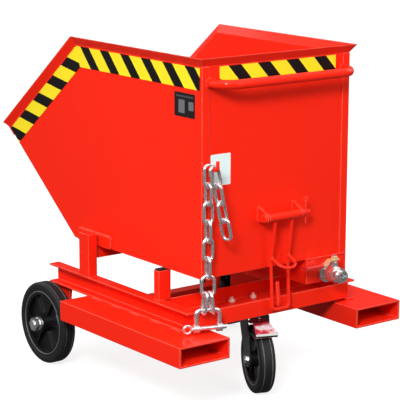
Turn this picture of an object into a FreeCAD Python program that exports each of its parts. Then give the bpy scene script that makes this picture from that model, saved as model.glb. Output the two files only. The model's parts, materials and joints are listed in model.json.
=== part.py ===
import FreeCAD, Part
import math
import os

# Tipping skip trolley, in millimetres. +X is the way the skip tips, +Y the left side, +Z up.
# The origin is on the floor under the middle of the whole trolley.

Vec = FreeCAD.Vector
ORIGIN = Vec(0, 0, 0)
ALONG_X = Vec(1, 0, 0)
ALONG_Y = Vec(0, 1, 0)
ALONG_Z = Vec(0, 0, 1)

# Whole trolley
overall_length = 1110.0
overall_width = 812.0
pivot_ahead = 53.0          # pivot axis ahead of the middle of the trolley
overrun = 5.0               # how far a cut runs past the faces it opens
run_gap = 0.08              # radial clearance of a pin turning in its bore
seat_gap = 0.3              # clearance where two faces only rest or rub

# Skip
sheet = 3.0
skip_width = 532.0
skip_setback = 88.0         # rear wall ahead of the rear ends of the fork pockets
skip_bottom = 386.0         # underside of the floor above the ground
skip_height = 614.0
top_length = 625.0          # level part of the rim
floor_length = 634.0        # level part of the floor
lip_rise = 303.0            # lip above the underside of the floor
rim_height = 24.0
rim_flare = 15.0
corner_flange = 25.0
nose_radius = 12.0
lip_bar_width = 40.0
lip_bar_thick = 5.0
lip_bar_setback = 14.0
floor_tube_side = 40.0
floor_tube_wall = 3.0
floor_tube_lag = 8.0        # rear face of the tube behind the pivot axis
hinge_plate_length = 177.0
hinge_plate_height = 37.0
hinge_plate_thick = 6.0
hinge_plate_lead = 92.0     # front end ahead of the pivot axis
hinge_plate_round = 8.0

# Pivot
pivot_rise = 20.0           # pivot axis above the underside of the floor
pivot_pin_dia = 20.0
pivot_head_dia = 32.0
pivot_head_thick = 6.0
pivot_pin_end = 3.0         # pin end short of the blind end of its bush
bush_dia = 28.0
bush_flange_dia = 36.0
bush_length = 25.0

# Push handle
handle_dia = 26.0
handle_wall = 2.5
handle_drop = 69.0          # handle below the top of the rim
handle_inset = 26.0         # centre lines of the arms inside the sides of the skip
handle_reach = 68.0
handle_bend = 60.0

# Fork pockets
pocket_width = 171.0
pocket_height = 58.0
pocket_length = 592.0
pocket_wall = 5.0
pocket_bottom = 179.0

# Chassis channels and cross members
channel_gap = 550.0         # between the inner faces of the two webs
channel_height = 58.0
channel_flange = 35.0
channel_wall = 5.0
channel_lead = 45.0         # front ends ahead of the axle
channel_setback = 95.0      # rear ends ahead of the rear ends of the fork pockets
cross_depth = 174.0
cross_height = 47.0
cross_wall = 5.0
cross_setback = 84.0
front_tube_side = 40.0      # square tube round the axle, between its brackets
front_tube_wall = 3.0

# Pivot posts and rest posts
post_depth = 50.0
post_width = 30.0
post_wall = 4.0
post_above_pivot = 19.0
rest_depth = 24.0
rest_width = 41.0
rest_wall = 3.0
rest_gap = 508.0            # between the inner faces of the two rest posts
rest_setback = 248.0
buffer_height = 4.0
buffer_inset = 2.0

# Front axle
axle_dia = 25.0
axle_lead = 147.0           # axle ahead of the pivot axis
axle_tail = 3.7             # axle ends past its nuts
bracket_gap = 570.0
bracket_thick = 10.0
bracket_length = 90.0
bracket_round = 28.0
spacer_dia = 36.0
axle_washer_dia = 40.0
axle_washer_thick = 3.0
axle_nut_across = 36.0
axle_nut_height = 16.0

# Front wheels
front_radius = 125.0
front_width = 44.0
front_rim_radius = 95.0
front_hub_radius = 29.0
front_hub_inner = 26.0      # hub reach from the middle of the tread towards the chassis
front_hub_outer = 34.0
front_bush_radius = 18.0
front_track = 696.0

# Wheel details shared by the front wheels and the castor wheel
shoulder = 7.0
bead_edge = 4.0
rim_band = 9.0
web_thick = 10.0
rib_width = 6.0
rib_drop = 4.0              # ribs end this far inside the edge of the rim
rib_count = 6

# Castor
castor_setback = 186.0      # swivel axis ahead of the rear ends of the fork pockets
castor_turn = -21.0         # swivel angle at rest, degrees
castor_trail = 46.0
castor_radius = 100.0
castor_width = 46.0
castor_rim_radius = 74.0
castor_hub_radius = 24.0
castor_bush_radius = 11.0
castor_plate_length = 140.0
castor_plate_width = 110.0
castor_plate_thick = 6.0
castor_bolt_span_x = 105.0
castor_bolt_span_y = 80.0
castor_bolt_dia = 10.0
castor_bolt_across = 17.0
castor_bolt_head = 7.0
castor_bolt_tail = 7.0      # bolt end beyond its nut
race_dia = 80.0
race_height = 12.0
race_chamfer = 5.0
crown_disc_dia = 72.0
crown_disc_height = 4.0
crown_thick = 6.0
crown_front = 38.0          # crown ahead of the swivel axis
crown_back = 40.0
fork_gap = 59.0
fork_leg_thick = 5.0
fork_round = 22.0
kingpin_dia = 18.0
kingpin_nut_across = 27.0
kingpin_nut_height = 11.0
castor_axle_dia = 12.0
castor_axle_head = 7.0
castor_axle_across = 19.0
castor_axle_tail = 1.0

# Brake pedal
pedal_pin_back = 32.0       # pedal pin behind the swivel axis
pedal_pin_drop = 10.0       # pedal pin below the crown
pedal_pin_dia = 7.0
pedal_boss_dia = 13.0
pedal_tongue = 44.0
pedal_width = 66.0          # tread at its free end
pedal_thick = 4.0
pedal_knee_back = 66.0
pedal_knee_rise = 3.0       # knee above the pedal pin
pedal_end_back = 120.0
pedal_end_drop = 14.0       # tread end below the pedal pin
pedal_lip_drop = 9.0        # turned-down edge of the tread

# Latch
latch_offset = 36.0         # bail hinge behind the rear sheet
latch_height = 538.0
lug_gap = 118.0
lug_thick = 8.0
lug_round = 13.0
lug_up = 31.0
lug_down = 15.0
latch_pin_dia = 14.0
latch_head_dia = 22.0
latch_head_thick = 6.0
latch_pin_tail = 26.0
split_pin_dia = 4.0
split_pin_edge = 13.0       # split pin in from the end of the latch pin
split_pin_half = 32.0
split_eye_radius = 6.0
barrel_dia = 25.0
barrel_play = 1.0
bail_dia = 10.0
bail_gap = 62.0
bail_root = 9.0             # leg ends below the hinge axis, inside the barrel wall
bail_kink_share = 0.486     # kink of the legs on the way from the hinge down to the foot bar
bail_kink_in = 24.0
bail_foot_rise = 18.0       # foot bar above the underside of the cross member
bail_foot_in = 22.0
bail_bend = 13.0
grip_dia = 9.0
grip_depth = 50.0
grip_bend = 30.0
grip_above = 14.0           # grip above the kink of the legs
grip_drop = 27.0            # outer end of the grip below its roots
bail_clear = 1.2            # foot bar clear of the nose of the catch at rest
catch_thick = 9.0
catch_rise = 45.0           # top of the ramp above the cross member
catch_crest = 5.0
catch_nose = 13.0
catch_nose_edge = 16.0
catch_slack = 2.0           # bar below the nose

# Drain and ball valve
sump_length = 120.0
sump_width = 150.0
sump_below = 28.0           # bottom of the sump below the valve axis
drain_hole_dia = 40.0
valve_drop = 46.0           # valve axis below the underside of the floor
valve_aside = 190.0
bore_dia = 25.0
flange_dia = 60.0
flange_thick = 8.0
valve_hex_across = 41.0
valve_hex_length = 14.0
valve_body_dia = 47.0
valve_body_length = 30.0
nipple_dia = 33.2
nipple_length = 12.0
boss_dia = 20.0
boss_rise = 36.0
ball_dia = 38.0
stem_dia = 10.0
stem_rise = 58.0
lever_rise = 42.0
lever_width = 18.0
lever_thick = 4.0
lever_length = 70.0
lever_heel = 12.0
lever_crank = 22.0          # the lever steps down from here on
lever_drop = 12.0
grip_start = 50.0
grip_length = 64.0
grip_width = 23.0
grip_thick = 13.0
grip_round = 5.0
lever_nut_across = 17.0
lever_nut_height = 7.0

# Chain
link_dia = 9.0
link_width = 18.0           # clear width inside a link
link_length = 52.0          # clear length inside a link
junction_width = 28.0       # clear width of the last link of the strand, which carries two legs
link_gap = 0.5
leg_gap = 2.6
leg_offset = 7.4
leg_lean = 7.0              # how far the legs lean apart, degrees
chain_turn = -17.0          # twist of the strand from its hook down to its last link, degrees
chain_offset = 22.0         # strand behind the rear corner flange
chain_aside = 260.5
strand_count = 7
tail_count = 4
tail_out = 25.0             # tail behind the strand, on the same hook
tail_lean = -13.5           # lean of the tail at rest, degrees
tail_twist = 7.0            # turn of each link of the tail past the quarter, degrees
hook_dia = 10.0
hook_height = 702.0
hook_reach = 63.0
hook_tip = 26.0
hook_bend = 9.0

# Bow shackle
shackle_dia = 12.0
shackle_width = 56.0
shackle_drop = 52.0         # pin below the crown, axis to axis
shackle_bend = 14.0
shackle_gap = 0.7
ear_dia = 24.0
ear_thick = 15.0
shackle_pin_dia = 13.0
shackle_pin_tail = 12.0
eye_radius = 11.0
eye_dia = 7.0

# Positions worked out from the sizes
rear_end = -overall_length / 2
lip_x = overall_length / 2
wall_x = rear_end + skip_setback
sheet_x = wall_x + sheet
wall_y = skip_width / 2
inner_y = wall_y - sheet
rim_z = skip_bottom + skip_height
fold_z = rim_z - rim_height
apex_x = wall_x + top_length
nose_x = wall_x + floor_length
lip_z = skip_bottom + lip_rise
pivot_x = pivot_ahead
pivot_z = skip_bottom + pivot_rise
channel_in = channel_gap / 2
channel_out = channel_in + channel_flange
post_in = channel_in + channel_wall
channel_rear = rear_end + channel_setback
channel_bottom = pocket_bottom + pocket_height
channel_top = channel_bottom + channel_height
cross_x = rear_end + cross_setback
cross_bottom = channel_top - cross_height
channel_front = pivot_x + axle_lead + channel_lead
axle_x = pivot_x + axle_lead
axle_z = front_radius
track_y = front_track / 2
washer_y = track_y + front_hub_outer + seat_gap
nut_y = washer_y + axle_washer_thick
axle_end = nut_y + axle_nut_height + axle_tail
swivel_x = rear_end + castor_setback
castor_y = fork_gap / 2 + fork_leg_thick
crown_top = cross_bottom - castor_plate_thick - race_height - seat_gap
crown_mid = crown_top - crown_disc_height
crown_bottom = crown_mid - crown_thick
latch_x = sheet_x - latch_offset
foot_z = cross_bottom + bail_foot_rise
foot_drop = latch_height - foot_z
foot_swing = latch_x + bail_foot_in + bail_dia / 2 + bail_clear - cross_x + catch_nose
bail_open = math.degrees(math.asin(foot_swing / foot_drop))
handle_z = skip_bottom + skip_height - handle_drop
valve_z = skip_bottom - valve_drop
valve_y = -valve_aside
stem_x = wall_x - flange_thick - valve_hex_length - valve_body_length / 2
chain_x = wall_x - chain_offset
tail_x = chain_x - tail_out
link_half = (link_length + link_dia) / 2
link_step = link_length - link_gap


# Basic solids
def box(x0, x1, y0, y1, z0, z1):
    return Part.makeBox(x1 - x0, y1 - y0, z1 - z0, Vec(x0, y0, z0))


def round_x(y, z, x0, x1, radius):
    return Part.makeCylinder(radius, x1 - x0, Vec(x0, y, z), ALONG_X)


def round_y(x, z, y0, y1, radius):
    return Part.makeCylinder(radius, y1 - y0, Vec(x, y0, z), ALONG_Y)


def round_z(x, y, z0, z1, radius):
    return Part.makeCylinder(radius, z1 - z0, Vec(x, y, z0), ALONG_Z)


def face_of(points):
    return Part.Face(Part.makePolygon(points + [points[0]]))


def plate_y(outline, y0, y1):
    return face_of([Vec(x, y0, z) for x, z in outline]).extrude(ALONG_Y * (y1 - y0))


def plate_x(outline, x0, x1):
    return face_of([Vec(x0, y, z) for y, z in outline]).extrude(ALONG_X * (x1 - x0))


def lathe_y(outline):
    return face_of([Vec(radius, y, 0) for radius, y in outline]).revolve(ORIGIN, ALONG_Y, 360)


def hexagon(across, height):
    turns = [math.pi / 3 * i for i in range(6)]
    corner = across / 2 / math.cos(turns[1] / 2)
    outline = face_of([Vec(corner * math.cos(a), corner * math.sin(a), 0) for a in turns])
    return outline.extrude(ALONG_Z * height)


def merged(first, *others):
    return first.fuse(list(others)).removeSplitter()


def mirrored(shape):
    return shape.mirror(ORIGIN, ALONG_Y)


def both_sides(shape):
    return Part.makeCompound([shape, mirrored(shape)])


def between(section_a, section_b):
    sides = [[section_a[i], section_a[i - 1], section_b[i - 1], section_b[i]] for i in range(4)]
    shell = Part.Shell([face_of(points) for points in [section_a, section_b] + sides])
    return Part.Solid(shell)


def softened(shape, radius, corners):
    chosen = []
    for edge in shape.Edges:
        middle = edge.CenterOfMass
        for corner in corners:
            near = math.hypot(middle.x - corner[0], middle.z - corner[1])
            if near < run_gap and len(edge.Vertexes) == 2 and edge.BoundBox.YLength > seat_gap:
                chosen.append(edge)
    return shape.makeFillet(radius, chosen)


def meet(point_a, along_a, point_b, along_b):
    span = (point_b[0] - point_a[0], point_b[1] - point_a[1])
    cross = along_a[0] * along_b[1] - along_a[1] * along_b[0]
    reach = (span[0] * along_b[1] - span[1] * along_b[0]) / cross
    return (point_a[0] + along_a[0] * reach, point_a[1] + along_a[1] * reach)


def direction(point_a, point_b):
    length = math.hypot(point_b[0] - point_a[0], point_b[1] - point_a[1])
    return ((point_b[0] - point_a[0]) / length, (point_b[1] - point_a[1]) / length)


def stepped(point, along, distance):
    return (point[0] + along[0] * distance, point[1] + along[1] * distance)


def round_ended(first, second, centre, radius, y0, y1):
    # a plate from a straight edge to a rounded end, its centre on the right of the way from first to second
    def touch(corner, side):
        away = math.hypot(corner[0] - centre[0], corner[1] - centre[1])
        heading = math.atan2(corner[1] - centre[1], corner[0] - centre[0])
        return heading + side * math.acos(radius / away)

    def at(angle):
        return Vec(centre[0] + radius * math.cos(angle), y0, centre[1] + radius * math.sin(angle))

    start = touch(second, -1)
    stop = touch(first, 1)
    while stop > start:
        stop = stop - 2 * math.pi
    first_point = Vec(first[0], y0, first[1])
    second_point = Vec(second[0], y0, second[1])
    arc = Part.Arc(at(start), at((start + stop) / 2), at(stop)).toShape()
    edges = [
        Part.LineSegment(first_point, second_point).toShape(),
        Part.LineSegment(second_point, at(start)).toShape(),
        arc,
        Part.LineSegment(at(stop), first_point).toShape(),
    ]
    return Part.Face(Part.Wire(edges)).extrude(ALONG_Y * (y1 - y0))


def bent_rod(points, bend, diameter):
    edges = []
    start = points[0]
    for before, corner, after in zip(points, points[1:], points[2:]):
        back = (before - corner).normalize()
        ahead = (after - corner).normalize()
        half = back.getAngle(ahead) / 2
        inward = (back + ahead).normalize()
        arc_start = corner + back * (bend / math.tan(half))
        arc_stop = corner + ahead * (bend / math.tan(half))
        arc_middle = corner + inward * (bend / math.sin(half) - bend)
        if (arc_start - start).Length > run_gap:
            edges.append(Part.LineSegment(start, arc_start).toShape())
        edges.append(Part.Arc(arc_start, arc_middle, arc_stop).toShape())
        start = arc_stop
    edges.append(Part.LineSegment(start, points[-1]).toShape())
    ring = Part.Wire(Part.makeCircle(diameter / 2, points[0], points[1] - points[0]))
    return Part.Wire(edges).makePipeShell([ring], True, False)


# Skip
def slope_points():
    # fold lines of the rim in side view: where the flared strip leaves the flat side plate
    slope = direction((apex_x, rim_z), (lip_x, lip_z))
    outward = (-slope[1], slope[0])
    front = direction((nose_x, skip_bottom), (lip_x, lip_z))
    start = stepped((apex_x, rim_z), outward, -rim_height)
    apex_fold = meet(start, slope, (wall_x, fold_z), (1, 0))
    lip_fold = meet(start, slope, (nose_x, skip_bottom), front)
    return apex_fold, lip_fold


def rim_section(fold, edge, inward):
    fold_out = Vec(fold[0], wall_y, fold[1])
    edge_out = Vec(edge[0], wall_y + rim_flare, edge[1])
    return [fold_out, edge_out, edge_out + inward, fold_out + inward]


def corner_section():
    return rim_section((sheet_x, fold_z), (wall_x - rim_flare, rim_z), Vec(sheet, -sheet, 0))


def skip_side():
    apex_fold, lip_fold = slope_points()
    side_in = Vec(0, -sheet, 0)
    outline = [(wall_x, skip_bottom), (wall_x, fold_z), apex_fold, lip_fold, (nose_x, skip_bottom)]
    plate = softened(plate_y(outline, inner_y, wall_y), nose_radius, [(nose_x, skip_bottom)])
    flange = box(wall_x, sheet_x, wall_y - corner_flange, wall_y, skip_bottom, fold_z)
    apex = rim_section(apex_fold, (apex_x, rim_z), side_in)
    lip = rim_section(lip_fold, (lip_x, lip_z), side_in)
    level_rim = between(corner_section(), apex)
    sloped_rim = between(apex, lip)
    pin_hole = round_y(pivot_x, pivot_z, inner_y - overrun, wall_y + overrun, pivot_pin_dia / 2 + run_gap)
    return merged(plate, flange, level_rim, sloped_rim).cut(pin_hole)


def skip_rear_wall():
    plate = box(sheet_x, sheet_x + sheet, -inner_y, inner_y, skip_bottom, fold_z)
    left = corner_section()
    right = [Vec(p.x, -p.y, p.z) for p in left]
    return merged(plate, between(left, right))


def skip_floor():
    front = direction((nose_x, skip_bottom), (lip_x, lip_z))
    inward = (-front[1], front[0])
    rear = sheet_x + sheet
    lip_inside = stepped((lip_x, lip_z), inward, sheet)
    nose_inside = meet(lip_inside, front, (rear, skip_bottom + sheet), (1, 0))
    nose = (nose_x, skip_bottom)
    outline = [(rear, skip_bottom), (rear, skip_bottom + sheet), nose_inside]
    outline = outline + [lip_inside, (lip_x, lip_z), nose]
    bent = softened(plate_y(outline, -inner_y, inner_y), nose_radius, [nose])
    bent = softened(bent, nose_radius - sheet, [nose_inside])
    low = skip_bottom - overrun
    drain = round_z(wall_x + sump_length / 2, valve_y, low, skip_bottom + sheet + overrun, drain_hole_dia / 2)
    return bent.cut(drain)


def lip_stiffener():
    front = direction((nose_x, skip_bottom), (lip_x, lip_z))
    outward = (front[1], -front[0])
    upper = stepped((lip_x, lip_z), front, -lip_bar_setback)
    lower = stepped(upper, front, -lip_bar_width)
    outline = [lower, upper, stepped(upper, outward, lip_bar_thick), stepped(lower, outward, lip_bar_thick)]
    return plate_y(outline, -wall_y, wall_y)


def floor_cross_tube():
    x0 = pivot_x - floor_tube_lag
    x1 = x0 + floor_tube_side
    z0 = skip_bottom - floor_tube_side
    outer = box(x0, x1, -wall_y, wall_y, z0, skip_bottom)
    wall = floor_tube_wall
    reach = wall_y + overrun
    return outer.cut(box(x0 + wall, x1 - wall, -reach, reach, z0 + wall, skip_bottom - wall))


def hinge_plate():
    x1 = pivot_x + hinge_plate_lead
    x0 = x1 - hinge_plate_length
    z1 = skip_bottom + hinge_plate_height
    y1 = wall_y + hinge_plate_thick
    plate = box(x0, x1, wall_y, y1, skip_bottom, z1)
    plate = softened(plate, hinge_plate_round, [(x0, z1), (x1, z1), (x0, skip_bottom), (x1, skip_bottom)])
    return plate.cut(round_y(pivot_x, pivot_z, wall_y - overrun, y1 + overrun, pivot_pin_dia / 2 + run_gap))


def pivot_pin():
    head = round_y(pivot_x, pivot_z, inner_y - pivot_head_thick, inner_y, pivot_head_dia / 2)
    end = post_in + bush_length - pivot_pin_end
    shank = round_y(pivot_x, pivot_z, inner_y - pivot_head_thick, end, pivot_pin_dia / 2)
    return merged(head, shank)


def push_handle():
    half = wall_y - handle_inset
    far = sheet_x - handle_reach
    path = [Vec(sheet_x, half, handle_z), Vec(far, half, handle_z)]
    path = path + [Vec(far, -half, handle_z), Vec(sheet_x, -half, handle_z)]
    bore = bent_rod(path, handle_bend, handle_dia - 2 * handle_wall)
    tube = bent_rod(path, handle_bend, handle_dia).cut(bore)
    flange = box(wall_x, sheet_x, wall_y - corner_flange, wall_y, skip_bottom, fold_z)
    return tube.cut(both_sides(flange))


# Latch on the skip and its catch on the chassis
def latch_lug():
    y0 = lug_gap / 2
    upper = (sheet_x, latch_height + lug_up)
    lower = (sheet_x, latch_height - lug_down)
    plate = round_ended(upper, lower, (latch_x, latch_height), lug_round, y0, y0 + lug_thick)
    hole = round_y(latch_x, latch_height, y0 - overrun, y0 + lug_thick + overrun, latch_pin_dia / 2 + run_gap)
    return plate.cut(hole)


def split_pin_y():
    return -lug_gap / 2 - lug_thick - latch_pin_tail + split_pin_edge


def latch_pin():
    outer = lug_gap / 2 + lug_thick
    shank = round_y(latch_x, latch_height, -outer - latch_pin_tail, outer, latch_pin_dia / 2)
    head = round_y(latch_x, latch_height, outer, outer + latch_head_thick, latch_head_dia / 2)
    low = latch_height - latch_pin_dia
    hole = round_z(latch_x, split_pin_y(), low, latch_height + latch_pin_dia, split_pin_dia / 2 + run_gap)
    return merged(shank, head).cut(hole)


def latch_split_pin():
    top = latch_height + split_pin_half
    leg = round_z(latch_x, split_pin_y(), latch_height - split_pin_half, top, split_pin_dia / 2)
    centre = Vec(latch_x, split_pin_y(), top + split_eye_radius)
    return merged(leg, Part.makeTorus(split_eye_radius, split_pin_dia / 2, centre, ALONG_X))


def latch_bail():
    half = bail_gap / 2
    kink_x = latch_x + bail_kink_in
    kink_z = latch_height - foot_drop * bail_kink_share
    foot_x = latch_x + bail_foot_in
    left = [
        Vec(latch_x, half, latch_height - bail_root),
        Vec(kink_x, half, kink_z),
        Vec(foot_x, half, foot_z),
    ]
    right = [Vec(p.x, -p.y, p.z) for p in reversed(left)]
    stirrup = bent_rod(left + right, bail_bend, bail_dia)
    root = Vec(kink_x, half, kink_z + grip_above)
    far = root - Vec(grip_depth, 0, grip_drop)
    loop = [root, far, Vec(far.x, -half, far.z), Vec(root.x, -half, root.z)]
    grip = bent_rod(loop, grip_bend, grip_dia)
    reach = lug_gap / 2 - barrel_play
    barrel = round_y(latch_x, latch_height, -reach, reach, barrel_dia / 2)
    bore = round_y(latch_x, latch_height, -reach - overrun, reach + overrun, latch_pin_dia / 2 + run_gap)
    bail = merged(barrel, stirrup, grip).cut(bore)
    return bail.rotate(Vec(latch_x, 0, latch_height), ALONG_Y, bail_open)


def latch_catch():
    under = foot_z + bail_dia / 2 + catch_slack
    top = channel_top + catch_rise
    nose = cross_x - catch_nose
    outline = [(cross_x, under), (cross_x, top), (cross_x - catch_crest, top)]
    outline = outline + [(nose, under + catch_nose_edge), (nose, under)]
    return plate_y(outline, -catch_thick / 2, catch_thick / 2)


# Drain sump and ball valve
def drain_sump():
    x0 = wall_x
    x1 = x0 + sump_length
    y0 = -wall_y
    y1 = y0 + sump_width
    z0 = valve_z - sump_below
    outer = box(x0, x1, y0, y1, z0, skip_bottom)
    inner = box(x0 + sheet, x1 - sheet, y0 + sheet, y1 - sheet, z0 + sheet, skip_bottom + overrun)
    outlet = round_x(valve_y, valve_z, x0 - overrun, x0 + sheet + overrun, bore_dia / 2)
    return outer.cut([inner, outlet])


def drain_flange():
    back = wall_x - flange_thick
    ring = round_x(valve_y, valve_z, back, wall_x, flange_dia / 2)
    return ring.cut(round_x(valve_y, valve_z, back - overrun, wall_x + overrun, bore_dia / 2))


def hex_along_x(x0):
    prism = hexagon(valve_hex_across, valve_hex_length)
    prism.rotate(ORIGIN, ALONG_Y, 90)
    return prism.translate(Vec(x0, valve_y, valve_z))


def valve_body():
    front = wall_x - flange_thick
    middle = front - valve_hex_length
    back = middle - valve_body_length
    end = back - valve_hex_length - nipple_length
    shell = round_x(valve_y, valve_z, back, middle, valve_body_dia / 2)
    nipple = round_x(valve_y, valve_z, end, back, nipple_dia / 2)
    boss = round_z(stem_x, valve_y, valve_z, valve_z + boss_rise, boss_dia / 2)
    outer = merged(shell, hex_along_x(middle), hex_along_x(back - valve_hex_length), nipple, boss)
    bore = round_x(valve_y, valve_z, end - overrun, front + overrun, bore_dia / 2)
    seat = Part.makeSphere(ball_dia / 2 + seat_gap, Vec(stem_x, valve_y, valve_z))
    stem_top = valve_z + boss_rise + overrun
    stem_hole = round_z(stem_x, valve_y, valve_z, stem_top, stem_dia / 2 + run_gap)
    return outer.cut([bore, seat, stem_hole])


def valve_ball():
    ball = Part.makeSphere(ball_dia / 2, Vec(stem_x, valve_y, valve_z))
    stem = round_z(stem_x, valve_y, valve_z, valve_z + stem_rise, stem_dia / 2)
    reach = ball_dia / 2 + overrun
    way = round_y(stem_x, valve_z, valve_y - reach, valve_y + reach, bore_dia / 2)
    return merged(ball, stem).cut(way)


def valve_lever():
    z0 = valve_z + lever_rise
    half = lever_width / 2
    step = valve_y + lever_crank
    under = [(valve_y - lever_heel, z0), (step, z0), (step + lever_drop, z0 - lever_drop)]
    under.append((valve_y + lever_length, z0 - lever_drop))
    outline = under + [(y, z + lever_thick) for y, z in reversed(under)]
    bar = plate_x(outline, stem_x - half, stem_x + half)
    hole = round_z(stem_x, valve_y, z0 - overrun, z0 + lever_thick + overrun, stem_dia / 2 + run_gap)
    return bar.cut(hole)


def lever_grip():
    middle = valve_z + lever_rise - lever_drop + lever_thick / 2
    half = grip_width / 2
    y0 = valve_y + grip_start
    z0 = middle - grip_thick / 2
    z1 = middle + grip_thick / 2
    x0 = stem_x - half
    x1 = stem_x + half
    sleeve = box(x0, x1, y0, y0 + grip_length, z0, z1)
    sleeve = softened(sleeve, grip_round, [(x0, z0), (x0, z1), (x1, z0), (x1, z1)])
    return sleeve.cut(valve_lever())


def lever_nut():
    z0 = valve_z + lever_rise + lever_thick
    nut = hexagon(lever_nut_across, lever_nut_height).translate(Vec(stem_x, valve_y, z0))
    top = z0 + lever_nut_height + overrun
    return nut.cut(round_z(stem_x, valve_y, z0 - overrun, top, stem_dia / 2 + run_gap))


# Chassis
def fork_pocket():
    y1 = overall_width / 2
    y0 = y1 - pocket_width
    z1 = pocket_bottom + pocket_height
    x1 = rear_end + pocket_length
    outer = box(rear_end, x1, y0, y1, pocket_bottom, z1)
    wall = pocket_wall
    inner = box(rear_end - overrun, x1 + overrun, y0 + wall, y1 - wall, pocket_bottom + wall, z1 - wall)
    return outer.cut(inner)


def channel():
    y0 = channel_in
    outer = box(channel_rear, channel_front, y0, channel_out, channel_bottom, channel_top)
    wall = channel_wall
    back = channel_rear - overrun
    front = channel_front + overrun
    bottom = channel_bottom + wall
    return outer.cut(box(back, front, y0 + wall, channel_out + overrun, bottom, channel_top - wall))


def bolt_places():
    spans = [(1, 1), (1, -1), (-1, 1), (-1, -1)]
    return [(swivel_x + a * castor_bolt_span_x / 2, b * castor_bolt_span_y / 2) for a, b in spans]


def rear_cross_member():
    x1 = cross_x + cross_depth
    outer = box(cross_x, x1, -channel_in, channel_in, cross_bottom, channel_top)
    wall = cross_wall
    reach = channel_in + overrun
    trough = box(cross_x + wall, x1 - wall, -reach, reach, cross_bottom + wall, channel_top + overrun)
    low = cross_bottom - overrun
    top = cross_bottom + wall + overrun
    radius = castor_bolt_dia / 2 + seat_gap
    holes = [round_z(x, y, low, top, radius) for x, y in bolt_places()]
    return outer.cut([trough] + holes)


def front_cross_tube():
    half = front_tube_side / 2
    end = bracket_gap / 2
    outer = box(axle_x - half, axle_x + half, -end, end, axle_z - half, axle_z + half)
    half = half - front_tube_wall
    end = end + overrun
    return outer.cut(box(axle_x - half, axle_x + half, -end, end, axle_z - half, axle_z + half))


def pivot_post():
    x0 = pivot_x - post_depth / 2
    x1 = x0 + post_depth
    y1 = post_in + post_width
    z1 = pivot_z + post_above_pivot
    wall = post_wall
    outer = box(x0, x1, post_in, y1, channel_top, z1)
    inner = box(x0 + wall, x1 - wall, post_in + wall, y1 - wall, channel_top - overrun, z1 - wall)
    hole = round_y(pivot_x, pivot_z, post_in - overrun, post_in + wall + overrun, bush_dia / 2 + run_gap)
    return outer.cut([inner, hole])


def pivot_bush():
    hinge_face = wall_y + hinge_plate_thick + seat_gap
    collar = round_y(pivot_x, pivot_z, hinge_face, post_in, bush_flange_dia / 2)
    sleeve = round_y(pivot_x, pivot_z, hinge_face, post_in + bush_length, bush_dia / 2)
    end = post_in + bush_length + overrun
    bore = round_y(pivot_x, pivot_z, hinge_face - overrun, end, pivot_pin_dia / 2 + run_gap)
    return merged(collar, sleeve).cut(bore)


def rest_post():
    x0 = rear_end + rest_setback
    x1 = x0 + rest_depth
    y0 = rest_gap / 2
    y1 = y0 + rest_width
    z1 = skip_bottom - seat_gap - buffer_height
    wall = rest_wall
    outer = box(x0, x1, y0, y1, channel_top, z1)
    return outer.cut(box(x0 + wall, x1 - wall, y0 + wall, y1 - wall, channel_top - overrun, z1 - wall))


def rest_buffer():
    x0 = rear_end + rest_setback + buffer_inset
    x1 = x0 + rest_depth - 2 * buffer_inset
    y0 = rest_gap / 2 + buffer_inset
    y1 = y0 + rest_width - 2 * buffer_inset
    z1 = skip_bottom - seat_gap
    return box(x0, x1, y0, y1, z1 - buffer_height, z1)


def axle_bracket():
    half = bracket_length / 2
    y0 = bracket_gap / 2
    y1 = y0 + bracket_thick
    rear = (axle_x - half, channel_bottom)
    front = (axle_x + half, channel_bottom)
    plate = round_ended(rear, front, (axle_x, axle_z), bracket_round, y0, y1)
    return plate.cut(round_y(axle_x, axle_z, y0 - overrun, y1 + overrun, axle_dia / 2 + run_gap))


def sleeve_on_axle(y0, y1, radius):
    outer = round_y(axle_x, axle_z, y0, y1, radius)
    return outer.cut(round_y(axle_x, axle_z, y0 - overrun, y1 + overrun, axle_dia / 2 + run_gap))


def axle_spacer():
    inner = bracket_gap / 2 + bracket_thick
    return sleeve_on_axle(inner, track_y - front_hub_inner - seat_gap, spacer_dia / 2)


def axle_washer():
    return sleeve_on_axle(washer_y, nut_y, axle_washer_dia / 2)


def axle_nut():
    nut = hexagon(axle_nut_across, axle_nut_height)
    nut.rotate(ORIGIN, ALONG_X, -90)
    nut.translate(Vec(axle_x, nut_y, axle_z))
    y1 = nut_y + axle_nut_height
    return nut.cut(round_y(axle_x, axle_z, nut_y - overrun, y1 + overrun, axle_dia / 2 + run_gap))


# Wheels, each made round the Y axis with the outer side towards +Y
def tyre(radius, width, rim_radius):
    half = width / 2
    seat = rim_radius + run_gap
    upper = [(seat, half - bead_edge), (radius - shoulder, half), (radius, half - shoulder)]
    return lathe_y(upper + [(r, -y) for r, y in reversed(upper)])


def rim(width, rim_radius, hub_radius, bush_radius, hub_inner, hub_outer):
    flank = width / 2 - bead_edge
    web = web_thick / 2
    band = rim_radius - rim_band
    core = bush_radius + run_gap
    outline = [(core, -hub_inner), (hub_radius, -hub_inner), (hub_radius, -web), (band, -web), (band, -flank)]
    outline = outline + [(rim_radius, -flank), (rim_radius, flank), (band, flank), (band, web)]
    outline = outline + [(hub_radius, web), (hub_radius, hub_outer), (core, hub_outer)]
    half = rib_width / 2
    reach = flank - rib_drop
    rib = box((core + hub_radius) / 2, band + rim_band / 2, -reach, reach, -half, half)
    ribs = [rib.copy().rotate(ORIGIN, ALONG_Y, 360.0 * i / rib_count) for i in range(rib_count)]
    return merged(lathe_y(outline), *ribs)


def wheel_bush(bore_radius, bush_radius, hub_inner, hub_outer):
    inner = bore_radius + run_gap
    outline = [(inner, -hub_inner), (bush_radius, -hub_inner), (bush_radius, hub_outer), (inner, hub_outer)]
    return lathe_y(outline)


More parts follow.
